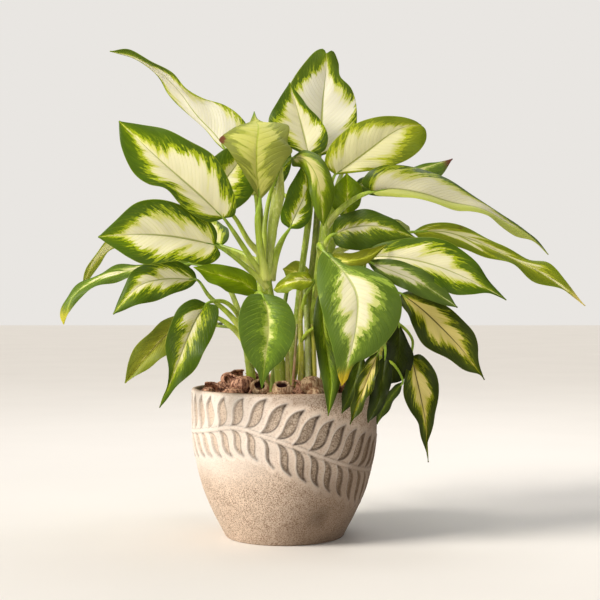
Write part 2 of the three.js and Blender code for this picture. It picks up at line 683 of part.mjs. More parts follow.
function onWall(round, up, out) {
  const angle = round / wallRadius;
  const radius = potRadius(up) + out;
  return new THREE.Vector3(radius * Math.sin(angle), -radius * Math.cos(angle), up);
}

// A leaflet is a groove with pointed ends and an S bend; side is 1 above the vine and -1 below
function leaflet(round, side) {
  const slope = THREE.MathUtils.radToDeg(Math.atan((vineHeight(round + 2) - vineHeight(round - 2)) / 4));
  const lean = THREE.MathUtils.degToRad(side > 0 ? 73 + slope : -57 + 0.52 * slope);
  const foot = vineHeight(round) + 4 * side;
  const length = side > 0 ? Math.min(43, (167 - foot) / Math.sin(lean)) : 37;
  const widest = side > 0 ? 7 : 5.6;
  const stations = 3;
  const corners = [];
  for (let i = 0; i <= stations; i += 1) {
    const t = i / stations;
    const bend = -side * 1.8 * Math.sin(2 * Math.PI * t);
    const half = 0.8 + widest * Math.sin(Math.PI * (0.04 + 0.92 * t));
    const depth = 0.4 + (grooveDepth - 0.4) * Math.sin(Math.PI * (0.06 + 0.88 * t));
    for (const [reach, out] of [[0, -depth], [-half, 1.2], [half, 1.2]]) {
      corners.push(onWall(
        round + length * t * Math.cos(lean) - (bend + reach) * Math.sin(lean),
        foot + length * t * Math.sin(lean) + (bend + reach) * Math.cos(lean),
        out,
      ));
    }
  }
  const faces = [];
  for (let i = 0; i < stations; i += 1) {
    for (let j = 0; j < 3; j += 1) {
      const a = i * 3 + j;
      const b = i * 3 + ((j + 1) % 3);
      faces.push(a, b, b + 3, a, b + 3, a + 3);
    }
  }
  const last = stations * 3;
  faces.push(0, 2, 1, last, last + 1, last + 2);
  const geometry = new THREE.BufferGeometry();
  geometry.setAttribute('position', new THREE.Float32BufferAttribute(corners.flatMap((p) => [p.x, p.y, p.z]), 3));
  geometry.setIndex(faces);
  return toSolid(geometry);
}

const grooves = [];
for (let k = 0; k < leaflets; k += 1) {
  const round = firstLeaflet + (k * 2 * Math.PI * wallRadius) / leaflets;
  grooves.push(leaflet(round, 1));
  grooves.push(leaflet(round, -1));
}
const relief = joined(grooves);
const pot = largestPiece(toSolid(potBody).subtract(relief));
addNode('pot', toGeometry(pot), 0xe6d9c8, 0.8);

// Soil: fills the pot to its top with a plain hole for each cane
const soilProfile = [new THREE.Vector2(0, floorThickness + gap)];
for (const height of [floorThickness + gap, 41, 76, 118, soilTop]) {
  soilProfile.push(new THREE.Vector2(potRadius(height) - wallThickness - 0.8, height));
}
soilProfile.push(new THREE.Vector2(0, soilTop));
const soilBody = new THREE.LatheGeometry(soilProfile, 24);
soilBody.rotateX(Math.PI / 2);
let soil = toSolid(soilBody);
for (const shoot of shoots) {
  const cane = new THREE.CatmullRomCurve3(shoot.cane.map(sight), false, 'centripetal').getSpacedPoints(60);
  const sunk = cane.filter((p) => p.z < soilTop + 8);
  sunk[0].z -= gap;
  const radius = shoot.radii[0] + gap + 0.35;
  soil = soil.subtract(toSolid(stem(sunk, [radius, radius], 8, 2)));
}
addNode('soil', toGeometry(soil), 0x3a2a20, 0.95);

// Dried pods and bark curls: [across, back, kind, size, turn, tilt, colour]
const husk = 0x9a6a4c;
const tan = 0xc4a27c;
const pods = [
  [-77, -43, 'curl', 13, 30, 10, husk],
  [-58, -69, 'nut', 12, 20, 0, husk],
  [-57, -17, 'curl', 12, 70, 15, husk],
  [-31, -80, 'cup', 10.5, 0, 32, husk],
  [-4, -87, 'cup', 11, 40, 14, tan],
  [17, -88, 'nut', 8.5, 0, 0, husk],
  [36, -76, 'nut', 13.5, 75, 0, tan],
  [60, -66, 'curl', 12, 120, 10, husk],
  [80, -42, 'cup', 10.5, 160, 24, husk],
  [91, -14, 'curl', 11, 95, 8, tan],
  [90, 16, 'nut', 11, 80, 0, husk],
  [80, 44, 'curl', 12, 140, 12, husk],
  [61, 68, 'cup', 11, 200, 20, tan],
  [33, 84, 'curl', 12, 20, 10, husk],
  [4, 90, 'nut', 12, 10, 0, husk],
  [-26, 86, 'cup', 11, 240, 22, husk],
  [-53, 73, 'curl', 12, 40, 12, tan],
  [-75, 49, 'nut', 12, 130, 0, husk],
  [-88, 20, 'curl', 11.5, 90, 8, husk],
  [-90, -11, 'nut', 9.5, 60, 0, husk],
  [5, -48, 'curl', 12, 10, 12, husk],
  [-14, -58, 'nut', 8, 30, 0, tan],
  [-64, 14, 'cup', 10.5, 300, 20, tan],
  [14, 58, 'cup', 11, 60, 18, husk],
  [62, 14, 'nut', 11, 20, 0, tan],
];

function nutShape(size) {
  const outline = [[0, -0.72], [0.62, -0.56], [0.96, -0.1], [0.84, 0.4], [0.45, 0.66], [0, 0.74]]
    .map(([r, z]) => new THREE.Vector2(r * size, z * size));
  const geometry = new THREE.LatheGeometry(outline, 9);
  geometry.rotateX(Math.PI / 2);
  geometry.scale(1.15, 0.82, 1);
  return geometry;
}

function cupShape(size) {
  const outline = [[0, -0.7], [0.62, -0.56], [0.98, 0], [0.74, 0.62], [0.52, 0.64],
    [0.6, 0.1], [0, -0.4]].map(([r, z]) => new THREE.Vector2(r * size, z * size));
  const geometry = new THREE.LatheGeometry(outline, 9);
  geometry.rotateX(Math.PI / 2);
  return geometry;
}

// A curl is a strip of bark bent round on itself
function curlShape(size) {
  const section = new THREE.Shape();
  const arcSteps = 6;
  for (let k = 0; k <= arcSteps; k += 1) {
    const angle = -2.5 + (4.3 * k) / arcSteps;
    const radius = size * (0.62 + 0.045 * k);
    const x = radius * Math.cos(angle);
    const y = radius * Math.sin(angle);
    if (k === 0) {
      section.moveTo(x, y);
    } else {
      section.lineTo(x, y);
    }
  }
  for (let k = arcSteps; k >= 0; k -= 1) {
    const angle = -2.5 + (4.3 * k) / arcSteps;
    const radius = size * (0.44 + 0.045 * k);
    section.lineTo(radius * Math.cos(angle), radius * Math.sin(angle));
  }
  section.closePath();
  const geometry = new THREE.ExtrudeGeometry(section, { steps: 2, depth: size * 1.7, bevelEnabled: false });
  geometry.translate(0, 0, -size * 0.85);
  geometry.rotateX(Math.PI / 2);
  const position = geometry.attributes.position;
  for (let i = 0; i < position.count; i += 1) {
    const along = position.getY(i) / (size * 0.85);
    const squeeze = 1 - 0.22 * along * along;
    position.setXYZ(i, position.getX(i) * squeeze, position.getY(i), position.getZ(i) * squeeze);
  }
  return geometry;
}

pods.forEach(([across, back, kind, size, turn, tilt, colour], index) => {
  const makers = { nut: nutShape, cup: cupShape, curl: curlShape };
  const geometry = makers[kind](size);
  geometry.rotateX(THREE.MathUtils.degToRad(tilt));
  geometry.rotateZ(THREE.MathUtils.degToRad(turn));
  const solid = toSolid(geometry);
  const shape = toGeometry(solid);
  shape.computeBoundingBox();
  const mesh = addNode(`pod_${String(index + 1).padStart(2, '0')}`, shape, colour, 0.85);
  mesh.position.set(across, back, podFloor - shape.boundingBox.min.z);
});

export default plant;
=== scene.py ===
# Potted dieffenbachia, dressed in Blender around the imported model.
# Shapes are worked out in millimetres and go to Blender in metres, +Z up, the front towards -Y.
import math
import random

import bpy
import numpy as np
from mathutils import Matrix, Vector, noise


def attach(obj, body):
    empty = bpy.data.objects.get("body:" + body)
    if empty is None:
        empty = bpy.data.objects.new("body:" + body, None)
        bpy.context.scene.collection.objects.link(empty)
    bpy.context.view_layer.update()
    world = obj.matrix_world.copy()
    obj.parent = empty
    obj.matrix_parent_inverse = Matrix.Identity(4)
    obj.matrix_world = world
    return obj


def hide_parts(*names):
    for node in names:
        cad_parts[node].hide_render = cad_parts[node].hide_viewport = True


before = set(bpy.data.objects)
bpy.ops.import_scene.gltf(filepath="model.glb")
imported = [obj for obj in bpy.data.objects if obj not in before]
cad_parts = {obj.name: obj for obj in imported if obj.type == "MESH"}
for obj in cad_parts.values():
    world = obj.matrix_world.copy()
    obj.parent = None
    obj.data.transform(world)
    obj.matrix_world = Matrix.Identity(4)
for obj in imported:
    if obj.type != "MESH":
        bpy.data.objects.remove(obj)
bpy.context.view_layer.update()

scene = bpy.context.scene
millimetre = 0.001  # in metres
wholeTurn = 2 * math.pi


# Studio

studio = {
    "eye": (18.4, -1450, 279),   # where the photograph was taken from
    "target": (20, 0, 280),      # what the lamps point at
    "lens": 73.1,
    "sensor": 36,
    "farthest": 100,             # how far the camera sees, in metres
    "floorSize": 24000,
    "floorColour": (236, 232, 226),
    "airColour": (246, 246, 248),
    "airStrength": 0.3,          # how much light the air gives
    "airSeen": (233, 230, 226),  # the air as the camera sees it
}
lamps = [
    # name, kind, place, spread in degrees or size, strength, colour
    ("window_light", "SUN", (-1950, -950, 1900), 24, 3.3, (255, 249, 240)),
    ("front_fill", "SUN", (500, -2000, 600), 40, 0.62, (255, 250, 244)),
    ("sky_panel", "AREA", (200, 700, 1900), 1300, 14, (252, 252, 255)),
]


def colourOf(colour):
    # A screen colour, 0 to 255, as the linear colour that Blender's sockets take
    parts = [c / 255 for c in colour]
    linear = [c / 12.92 if c <= 0.04045 else ((c + 0.055) / 1.055) ** 2.4 for c in parts]
    return (*linear, 1)


def makeCamera():
    data = bpy.data.cameras.new("photograph_view")
    data.lens = studio["lens"]
    data.sensor_width = studio["sensor"]
    data.clip_end = studio["farthest"]
    camera = bpy.data.objects.new("photograph_view", data)
    camera.location = Vector(studio["eye"]) * millimetre
    camera.rotation_euler = (math.pi / 2, 0, 0)
    scene.collection.objects.link(camera)
    scene.camera = camera


def makeLamps():
    for name, kind, place, size, strength, colour in lamps:
        data = bpy.data.lights.new(name, kind)
        if kind == "SUN":
            data.angle = math.radians(size)
        else:
            data.shape = "DISK"
            data.size = size * millimetre
        data.energy = strength
        data.color = colourOf(colour)[:3]
        lamp = bpy.data.objects.new(name, data)
        lamp.location = Vector(place) * millimetre
        direction = Vector(studio["target"]) * millimetre - lamp.location
        lamp.rotation_euler = direction.to_track_quat("-Z", "Y").to_euler()
        scene.collection.objects.link(lamp)


def makeAir():
    # Soft light from all round, and a plain pale wall for the camera
    air = bpy.data.worlds.new("soft_air")
    air.use_nodes = True
    tree = air.node_tree
    light = tree.nodes["Background"]
    light.inputs["Color"].default_value = colourOf(studio["airColour"])
    light.inputs["Strength"].default_value = studio["airStrength"]
    seen = tree.nodes.new("ShaderNodeBackground")
    seen.inputs["Color"].default_value = colourOf(studio["airSeen"])
    paths = tree.nodes.new("ShaderNodeLightPath")
    either = tree.nodes.new("ShaderNodeMixShader")
    sources = (paths.outputs["Is Camera Ray"], light.outputs[0], seen.outputs[0])
    for source, socket in zip(sources, either.inputs):
        tree.links.new(source, socket)
    tree.links.new(either.outputs[0], tree.nodes["World Output"].inputs[0])
    scene.world = air
    scene.view_settings.view_transform = "Standard"


# Shader building: signals that can be added, taken off and multiplied, each sign one Math node

class Signal:
    # The output of a node in a tree
    def __init__(self, tree, socket):
        self.tree = tree
        self.socket = socket

    def __add__(self, other):
        return calc("ADD", self, other)

    def __sub__(self, other):
        return calc("SUBTRACT", self, other)

    def __rsub__(self, other):
        return calc("SUBTRACT", other, self)

    def __mul__(self, other):
        return calc("MULTIPLY", self, other)


def feed(socket, value):
    if isinstance(value, Signal):
        value.tree.links.new(value.socket, socket)
    else:
        socket.default_value = value


def addNode(tree, kind, inputs, output=0, **settings):
    node = tree.nodes.new("ShaderNode" + kind)
    for name, value in settings.items():
        setattr(node, name, value)
    for key, value in inputs.items():
        feed(node.inputs[key], value)
    return Signal(tree, node.outputs[output])


def treeOf(*values):
    return next(value.tree for value in values if isinstance(value, Signal))


def calc(operation, *values):
    return addNode(treeOf(*values), "Math", dict(enumerate(values)), operation=operation)


def ease(value, low, high, start=0.0, end=1.0):
    # A soft step: start below low, end above high
    return addNode(value.tree, "MapRange", {"Value": value, "From Min": low, "From Max": high,
                                            "To Min": start, "To Max": end},
                   "Result", interpolation_type="SMOOTHSTEP")


def mixed(factor, first, second, way="MIX"):
    # Of a Mix node's sockets, 0, 6, 7 and 2 are its factor, two colours and mixed colour
    return addNode(treeOf(factor, first, second), "Mix", {0: factor, 6: first, 7: second}, 2,
                   data_type="RGBA", blend_type=way)


def together(x, y, z):
    return addNode(treeOf(x, y, z), "CombineXYZ", {0: x, 1: y, 2: z})


def toned(colour, tone):
    # A colour made darker or paler by a number
    return mixed(1.0, colour, together(tone, tone, tone), "MULTIPLY")


def apart(vector):
    node = vector.tree.nodes.new("ShaderNodeSeparateXYZ")
    feed(node.inputs[0], vector)
    return [Signal(vector.tree, socket) for socket in node.outputs]


def stretched(place, by):
    return addNode(place.tree, "VectorMath", {0: place, 1: by}, operation="MULTIPLY")


def cloud(place, scale, detail=2.0, roughness=0.5):
    return addNode(place.tree, "TexNoise", {"Vector": place, "Scale": scale, "Detail": detail,
                                            "Roughness": roughness}, "Fac")


def cells(place, scale):
    return addNode(place.tree, "TexVoronoi", {"Vector": place, "Scale": scale}, "Distance")


def painted(tree, name):
    # A number kept on the mesh's points
    return addNode(tree, "Attribute", {}, "Fac", attribute_name=name)


def inPlace(tree):
    return addNode(tree, "TexCoord", {}, "Object")


def onSurface(tree):
    # Across or round a piece, and along it, both 0 to 1
    return apart(addNode(tree, "UVMap", {}, uv_map="shape_map"))[:2]


def newGroup(name, outputs, **inputs):
    # A shared effect. An input is a number with its usual value, or a colour where that is None.
    tree = bpy.data.node_groups.new(name, "ShaderNodeTree")
    for label, value in inputs.items():
        kind = "NodeSocketColor" if value is None else "NodeSocketFloat"
        socket = tree.interface.new_socket(label, in_out="INPUT", socket_type=kind)
        if value is not None:
            socket.default_value = value
    for label in outputs:
        kind = "NodeSocketColor" if label == "Color" else "NodeSocketFloat"
        tree.interface.new_socket(label, in_out="OUTPUT", socket_type=kind)
    entry = tree.nodes.new("NodeGroupInput")
    given = {socket.name: Signal(tree, socket) for socket in entry.outputs}
    return tree, given, tree.nodes.new("NodeGroupOutput").inputs


def useGroup(tree, group, **values):
    node = tree.nodes.new("ShaderNodeGroup")
    node.node_tree = group
    for name, value in values.items():
        feed(node.inputs[name], value)
    return {socket.name: Signal(tree, socket) for socket in node.outputs}


def newMaterial(name):
    material = bpy.data.materials.new(name)
    material.use_nodes = True
    return material, material.node_tree, material.node_tree.nodes["Principled BSDF"].inputs


def dress(surface, colour, roughness, height, strength, depth):
    # Colour, roughness and bumps of a surface. depth is that of the bumps, in metres.
    feed(surface["Base Color"], colour)
    feed(surface["Roughness"], roughness)
    feed(surface["Normal"], addNode(height.tree, "Bump", {"Strength": strength, "Distance": depth,
                                                          "Height": height}, "Normal"))


def makeLeafy(surface):
    # Light passes a little way into leaves and stems
    surface["Subsurface Weight"].default_value = 0.1
    surface["Subsurface Radius"].default_value = (1.0, 0.9, 0.3)
    surface["Subsurface Scale"].default_value = 0.002


def buildGrainGroup():
    # Sandy grain for clay, soil and dry husks: a two-colour speckle and a height
    tree, given, made = newGroup("dry_grain", ["Color", "Height", "Mask"], Light=None, Dark=None,
                                 Grain=500.0, Stretch=1.0, Balance=0.5)
    place = stretched(inPlace(tree), together(1.0, 1.0, given["Stretch"]))
    fine = cloud(place, given["Grain"], 3.0, 0.65)
    broad = cloud(place, given["Grain"] * 0.12, 3.0, 0.6)
    pits = cells(place, given["Grain"] * 0.8)
    mask = ease(fine * 0.86 + broad * 0.14, given["Balance"] - 0.09, given["Balance"] + 0.09)
    feed(made["Color"], mixed(mask, given["Dark"], given["Light"]))
    feed(made["Height"], fine * 0.7 + pits * 0.5)
    feed(made["Mask"], mask)
    return tree


dryGrain = buildGrainGroup()


def grained(tree, colours, size, balance, stretch=1.0):
    # colours are the light and the dark one of the speckle
    return useGroup(tree, dryGrain, Light=colourOf(colours[0]), Dark=colourOf(colours[1]),
                    Grain=size, Balance=balance, Stretch=stretch)


# Shape building: lines, tubes and grids

def sight(points):
    # [across, up, back] as the eye sees it against the pot's axis, to a place in the room
    p = np.atleast_2d(np.array(points, float))
    eyeAcross, eyeBack, eyeUp = studio["eye"]
    spread = (p[:, 2] - eyeBack) / -eyeBack
    return np.column_stack([
        eyeAcross + (p[:, 0] - eyeAcross) * spread,
        p[:, 2],
        eyeUp + (p[:, 1] - eyeUp) * spread,
    ])


def smoothLine(points, count):
    # A centripetal curve through the points, cut into count even steps
    p = np.array(points, float)
    p = np.vstack([2 * p[0] - p[1], p, 2 * p[-1] - p[-2]])
    pieces = []
    for k in range(1, len(p) - 2):
        a, b, c, d = p[k - 1:k + 3]
        before, along, after = (max(np.linalg.norm(step), 1e-6) ** 0.5 for step in (b - a, c - b, d - c))
        leave = ((b - a) / before - (c - a) / (before + along) + (c - b) / along) * along
        arrive = ((c - b) / along - (d - b) / (along + after) + (d - c) / after) * along
        t = np.linspace(0, 1, 24, endpoint=False)[:, None]
        pieces.append(b + leave * t + (3 * (c - b) - 2 * leave - arrive) * t ** 2
                      + (2 * (b - c) + leave + arrive) * t ** 3)
    line = np.vstack([*pieces, p[-2][None]])
    run = np.r_[0, np.cumsum(np.linalg.norm(np.diff(line, axis=0), axis=1))]
    places = np.linspace(0, run[-1], count + 1)
    return np.column_stack([np.interp(places, run, line[:, j]) for j in range(line.shape[1])])


def lengthOf(line):
    return float(np.linalg.norm(np.diff(line, axis=0), axis=1).sum())


def unit(vectors):
    return vectors / np.maximum(np.linalg.norm(vectors, axis=-1, keepdims=True), 1e-9)


def tangentsOf(line):
    return unit(np.vstack([line[1:], line[-1:]]) - np.vstack([line[:1], line[:-1]]))


def spreadOver(values, count):
    # A few values drawn out evenly to count of them
    return np.interp(np.linspace(0, 1, count), np.linspace(0, 1, len(values)), values)


def evenTurns(columns):
    return np.linspace(0, wholeTurn, columns, endpoint=False)


def softStep(value, low, high):
    t = np.clip((value - low) / (high - low), 0, 1)
    return t * t * (3 - 2 * t)


def hump(value, width):
    return np.exp(-(value / width) ** 2)


def gridFaces(rows, columns, start=0, around=False, flip=False):
    # Quads of a grid of rows x columns points, closed round the columns if asked
    i = np.arange(rows - 1)[:, None]
    j = np.arange(columns if around else columns - 1)[None, :]
    a = start + i * columns + j
    b = start + i * columns + (j + 1) % columns
    faces = np.stack([a, b, b + columns, a + columns], -1).reshape(-1, 4)
    return faces[:, ::-1] if flip else faces


def closedRings(rows, columns):
    # Rings of points joined round and along; the two points after them close the ends
    k = np.arange(columns)
    following = (k + 1) % columns
    top = (rows - 1) * columns
    low, high = np.full(columns, rows * columns), np.full(columns, rows * columns + 1)
    first = np.stack([following, k, low, low], -1)
    last = np.stack([top + k, top + following, high, high], -1)
    return np.vstack([gridFaces(rows, columns, around=True), first, last])


def facingOut(points, faces):
    # Turns all faces over if the closed form they make is inside out
    p = np.asarray(points)
    f = np.asarray(faces)
    volume = np.einsum("ij,ij->", p[f[:, 0]], np.cross(p[f[:, 1]], p[f[:, 2]]))
    volume += np.einsum("ij,ij->", p[f[:, 0]], np.cross(p[f[:, 2]], p[f[:, 3]]))
    return f if volume > 0 else f[:, ::-1]


def makePiece(name, points, faces, materials, uv=None, marks=None, slots=None, smooth=True):
    # One mesh object from points in millimetres. A quad with one corner twice is a triangle.
    # marks are numbers kept on the points, slots each face's material.
    mesh = bpy.data.meshes.new(name)
    corners = [list(dict.fromkeys(face)) for face in np.asarray(faces).tolist()]
    mesh.from_pydata((np.asarray(points) * millimetre).tolist(), [], corners)
    for material in materials:
        mesh.materials.append(material)
    if uv is not None:
        layer = mesh.uv_layers.new(name="shape_map")
        owners = np.empty(len(mesh.loops), dtype=np.int32)
        mesh.loops.foreach_get("vertex_index", owners)
        layer.data.foreach_set("uv", np.asarray(uv, np.float32)[owners].ravel())
    for label, values in (marks or {}).items():
        layer = mesh.attributes.new(label, "FLOAT", "POINT")
        layer.data.foreach_set("value", np.asarray(values, np.float32))
    if slots is not None:
        mesh.polygons.foreach_set("material_index", np.asarray(slots, np.int32))
    mesh.polygons.foreach_set("use_smooth", np.full(len(mesh.polygons), smooth))
    mesh.validate()
    mesh.update()
    piece = bpy.data.objects.new(name, mesh)
    scene.collection.objects.link(piece)
    return piece


def settle(piece, node=None):
    # Nothing moves, so every piece rides on the one body. Some take a CAD node's place.
    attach(piece, "root")
    if node:
        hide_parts(node)


def tube(line, radii, sides, ripple):
    # A stem with closed ends along a line: points, quads, uv (round, along)
    count = len(line)
    tangents = tangentsOf(line)
    side = np.cross(tangents[0], [0.0, 0.3, 1.0])
    if np.linalg.norm(side) < 0.2:
        side = np.cross(tangents[0], [1.0, 0.0, 0.0])
    side = side / np.linalg.norm(side)
    rings = []
    uv = []
    turn = evenTurns(sides)
    for i in range(count):
        side = side - tangents[i] * float(side @ tangents[i])
        side = side / np.linalg.norm(side)
        other = np.cross(tangents[i], side)
        radius = radii[i] * ripple(i / (count - 1), turn)
        ring = line[i] + np.outer(np.cos(turn) * radius, side) + np.outer(np.sin(turn) * radius, other)
        rings.append(ring)
        uv += [(k / sides, i / (count - 1)) for k in range(sides)]
    points = np.vstack([*rings, line[:1] - tangents[:1] * radii[0] * 0.2,
                        line[-1:] + tangents[-1:] * radii[-1] * 0.5])
    uv += [(0.5, 0.0), (0.5, 1.0)]
    return points, closedRings(count, sides), np.array(uv)


def joinShapes(shapes):
    # Several (points, faces, uv) as one, with a slot number for each face
    starts = np.cumsum([0] + [len(shape[0]) for shape in shapes])
    joined = [np.asarray(shape[1]) + start for shape, start in zip(shapes, starts)]
    slots = np.repeat(np.arange(len(shapes)), [len(faces) for faces in joined])
    return (np.vstack([shape[0] for shape in shapes]), np.vstack(joined),
            np.vstack([shape[2] for shape in shapes]), slots)


makeCamera()
makeLamps()
makeAir()
print("camera and lamps are in place")


# Plant

# Where each cane, leaf stalk and blade runs, read from the photograph: points are
# [across, up, back], the edges of a blade [across, up]. near: how far the left and right edge
# bow towards the eye. thick: a stalk's radius below and above. wide, face: how wide a leaf at
# the back is, and the way that it faces.
shoots = {}
shoots["shoot_left"] = {
    "cane": [[-37, 131, -40], [-40, 190, -44], [-45, 222, -46], [-50, 246, -47]],
    "radii": [6, 5.8, 5, 3.4],
    "leaf_left_low": {
        "near": [2, 12],
        "stalk": [[-45, 232, -47], [-56, 262, -58], [-72, 277, -74]],
        "rib": [[-92, 275, -92], [-104, 258, -104], [-116, 232, -114], [-130, 196, -118],
            [-149, 151, -112]],
        "left": [[-108, 280], [-124, 272], [-134, 254], [-142, 226], [-138, 196], [-141, 172]],
        "right": [[-80, 272], [-78, 258], [-88, 234], [-100, 206], [-120, 184], [-136, 166]]},
    "leaf_left_olive": {
        "near": [8, 8],
        "stalk": [[-44, 226, -47], [-62, 246, -50], [-84, 259, -52]],
        "rib": [[-112, 256, -54], [-140, 238, -62], [-166, 210, -68], [-190, 180, -70]],
        "left": [[-116, 236], [-130, 220], [-152, 205], [-174, 190]],
        "right": [[-122, 262], [-143, 255], [-158, 243], [-171, 231], [-181, 217], [-187, 202]]},
    "leaf_front_heart": {
        "near": [8, 4],
        "stalk": [[-45, 236, -47], [-41, 268, -58], [-33, 287, -76]],
        "rib": [[-27, 286, -88], [-20, 266, -96], [-19, 240, -104], [-23, 210, -108], [-27, 174, -104]],
        "left": [[-42, 285], [-53, 268], [-55, 249], [-52, 227], [-43, 208], [-33, 194]],
        "right": [[-14, 285], [1, 278], [11, 262], [13, 243], [8, 224], [-2, 208], [-17, 194]]},
    "leaf_left_middle": {
        "near": [8, -8],
        "stalk": [[-47, 240, -47], [-66, 262, -50], [-90, 284, -53]],
        "rib": [[-104, 303, -56], [-140, 304, -62], [-172, 296, -72], [-204, 262, -84]],
        "left": [[-110, 296], [-140, 283], [-162, 276], [-184, 270]],
        "right": [[-108, 314], [-130, 326], [-158, 325], [-180, 314], [-190, 296], [-198, 280]]},
    "leaf_left_narrow": {
        "near": [10, -12],
        "stalk": [[-49, 244, -46], [-57, 272, -30], [-67, 294, -12], [-86, 314, 6]],
        "rib": [[-110, 322, 16], [-160, 317, 14], [-200, 311, 10], [-228, 301, 8], [-252, 282, 5],
            [-263, 250, 2]],
        "left": [[-130, 306], [-170, 306], [-208, 300], [-227, 292], [-246, 280], [-256, 264]],
        "right": [[-130, 330], [-165, 324], [-206, 317], [-236, 303], [-254, 288], [-266, 272],
            [-267, 259]]},
}
shoots["shoot_centre"] = {
    "cane": [[-5, 130, -12], [-5, 190, -12], [-12, 240, -14], [-20, 296, -18], [-22, 312, -18]],
    "radii": [7.4, 7, 6.6, 6.8, 5],
    "leaf_left_large": {
        "near": [8, 10], "thick": [4, 2.6],
        "stalk": [[-21, 300, -18], [-36, 322, -26], [-54, 350, -38]],
        "rib": [[-72, 376, -52], [-98, 401, -70], [-122, 422, -80], [-150, 447, -84], [-197, 492, -78]],
        "left": [[-92, 372], [-122, 391], [-142, 411], [-162, 417], [-180, 431], [-194, 460],
            [-197, 482]],
        "right": [[-60, 379], [-58, 396], [-66, 422], [-84, 450], [-112, 468], [-140, 482], [-172, 488]]},
    "leaf_left_broad": {
        "near": [14, 2],
        "stalk": [[-20, 294, -20], [-42, 315, -30], [-64, 333, -38]],
        "rib": [[-82, 344, -44], [-108, 350, -54], [-138, 355, -64], [-175, 357, -76], [-222, 354, -84]],
        "left": [[-76, 333], [-92, 321], [-130, 325], [-168, 322], [-186, 329], [-202, 340]],
        "right": [[-80, 358], [-88, 372], [-110, 386], [-138, 397], [-158, 399], [-178, 394],
            [-204, 371]]},
    "leaf_plain_green": {
        "near": [10, 0],
        "stalk": [[-19, 282, -18], [-24, 285, -24]],
        "rib": [[-32, 288, -32], [-55, 302, -48], [-80, 309, -60], [-108, 318, -72]],
        "left": [[-42, 284], [-60, 287], [-78, 294], [-94, 304]],
        "right": [[-34, 303], [-48, 314], [-68, 320], [-88, 322]]},
    "leaf_top_underside": {
        "near": [-2, 6], "thick": [5.4, 3.8],
        "stalk": [[-22, 302, -20], [-29, 342, -26], [-32, 378, -28]],
        "rib": [[-29, 398, -30], [-33, 430, -46], [-33, 462, -50], [-31, 484, -34], [-33, 490, -4],
            [-36, 503, 34]],
        "left": [[-38, 412], [-54, 438], [-66, 456], [-78, 470], [-67, 482], [-52, 483], [-42, 487]],
        "right": [[-18, 410], [-6, 432], [3, 448], [10, 459], [4, 468], [5, 484], [-12, 485], [-30, 488]]},
    "leaf_centre_small": {
        "near": [6, 6], "thick": [6.2, 3.0],
        "stalk": [[-19, 304, -16], [-10, 334, -8], [-2, 352, 0]],
        "rib": [[6, 364, 8], [14, 382, 10], [23, 402, 8], [26, 424, 4], [20, 438, 2]],
        "left": [[-4, 372], [-2, 392], [8, 418]],
        "right": [[20, 364], [30, 374], [33, 398], [31, 424]]},
    "leaf_centre_drooping": {
        "near": [2, -10],
        "stalk": [[-21, 306, -14], [-24, 360, 2], [-16, 408, 8], [-3, 438, -2]],
        "rib": [[8, 448, -16], [24, 446, -40], [38, 426, -62], [43, 400, -72], [46, 367, -74]],
        "left": [[10, 438], [20, 436], [28, 420], [32, 398], [38, 380]],
        "right": [[22, 458], [40, 450], [54, 434], [59, 410], [56, 388]]},
    "spear": {
        "path": [[-19, 300, -18], [-17, 340, -17], [-13, 372, -16], [-7, 404, -14], [-3, 437, -12]],
        "radii": [4, 4.4, 6.4, 7.6, 1]},
}
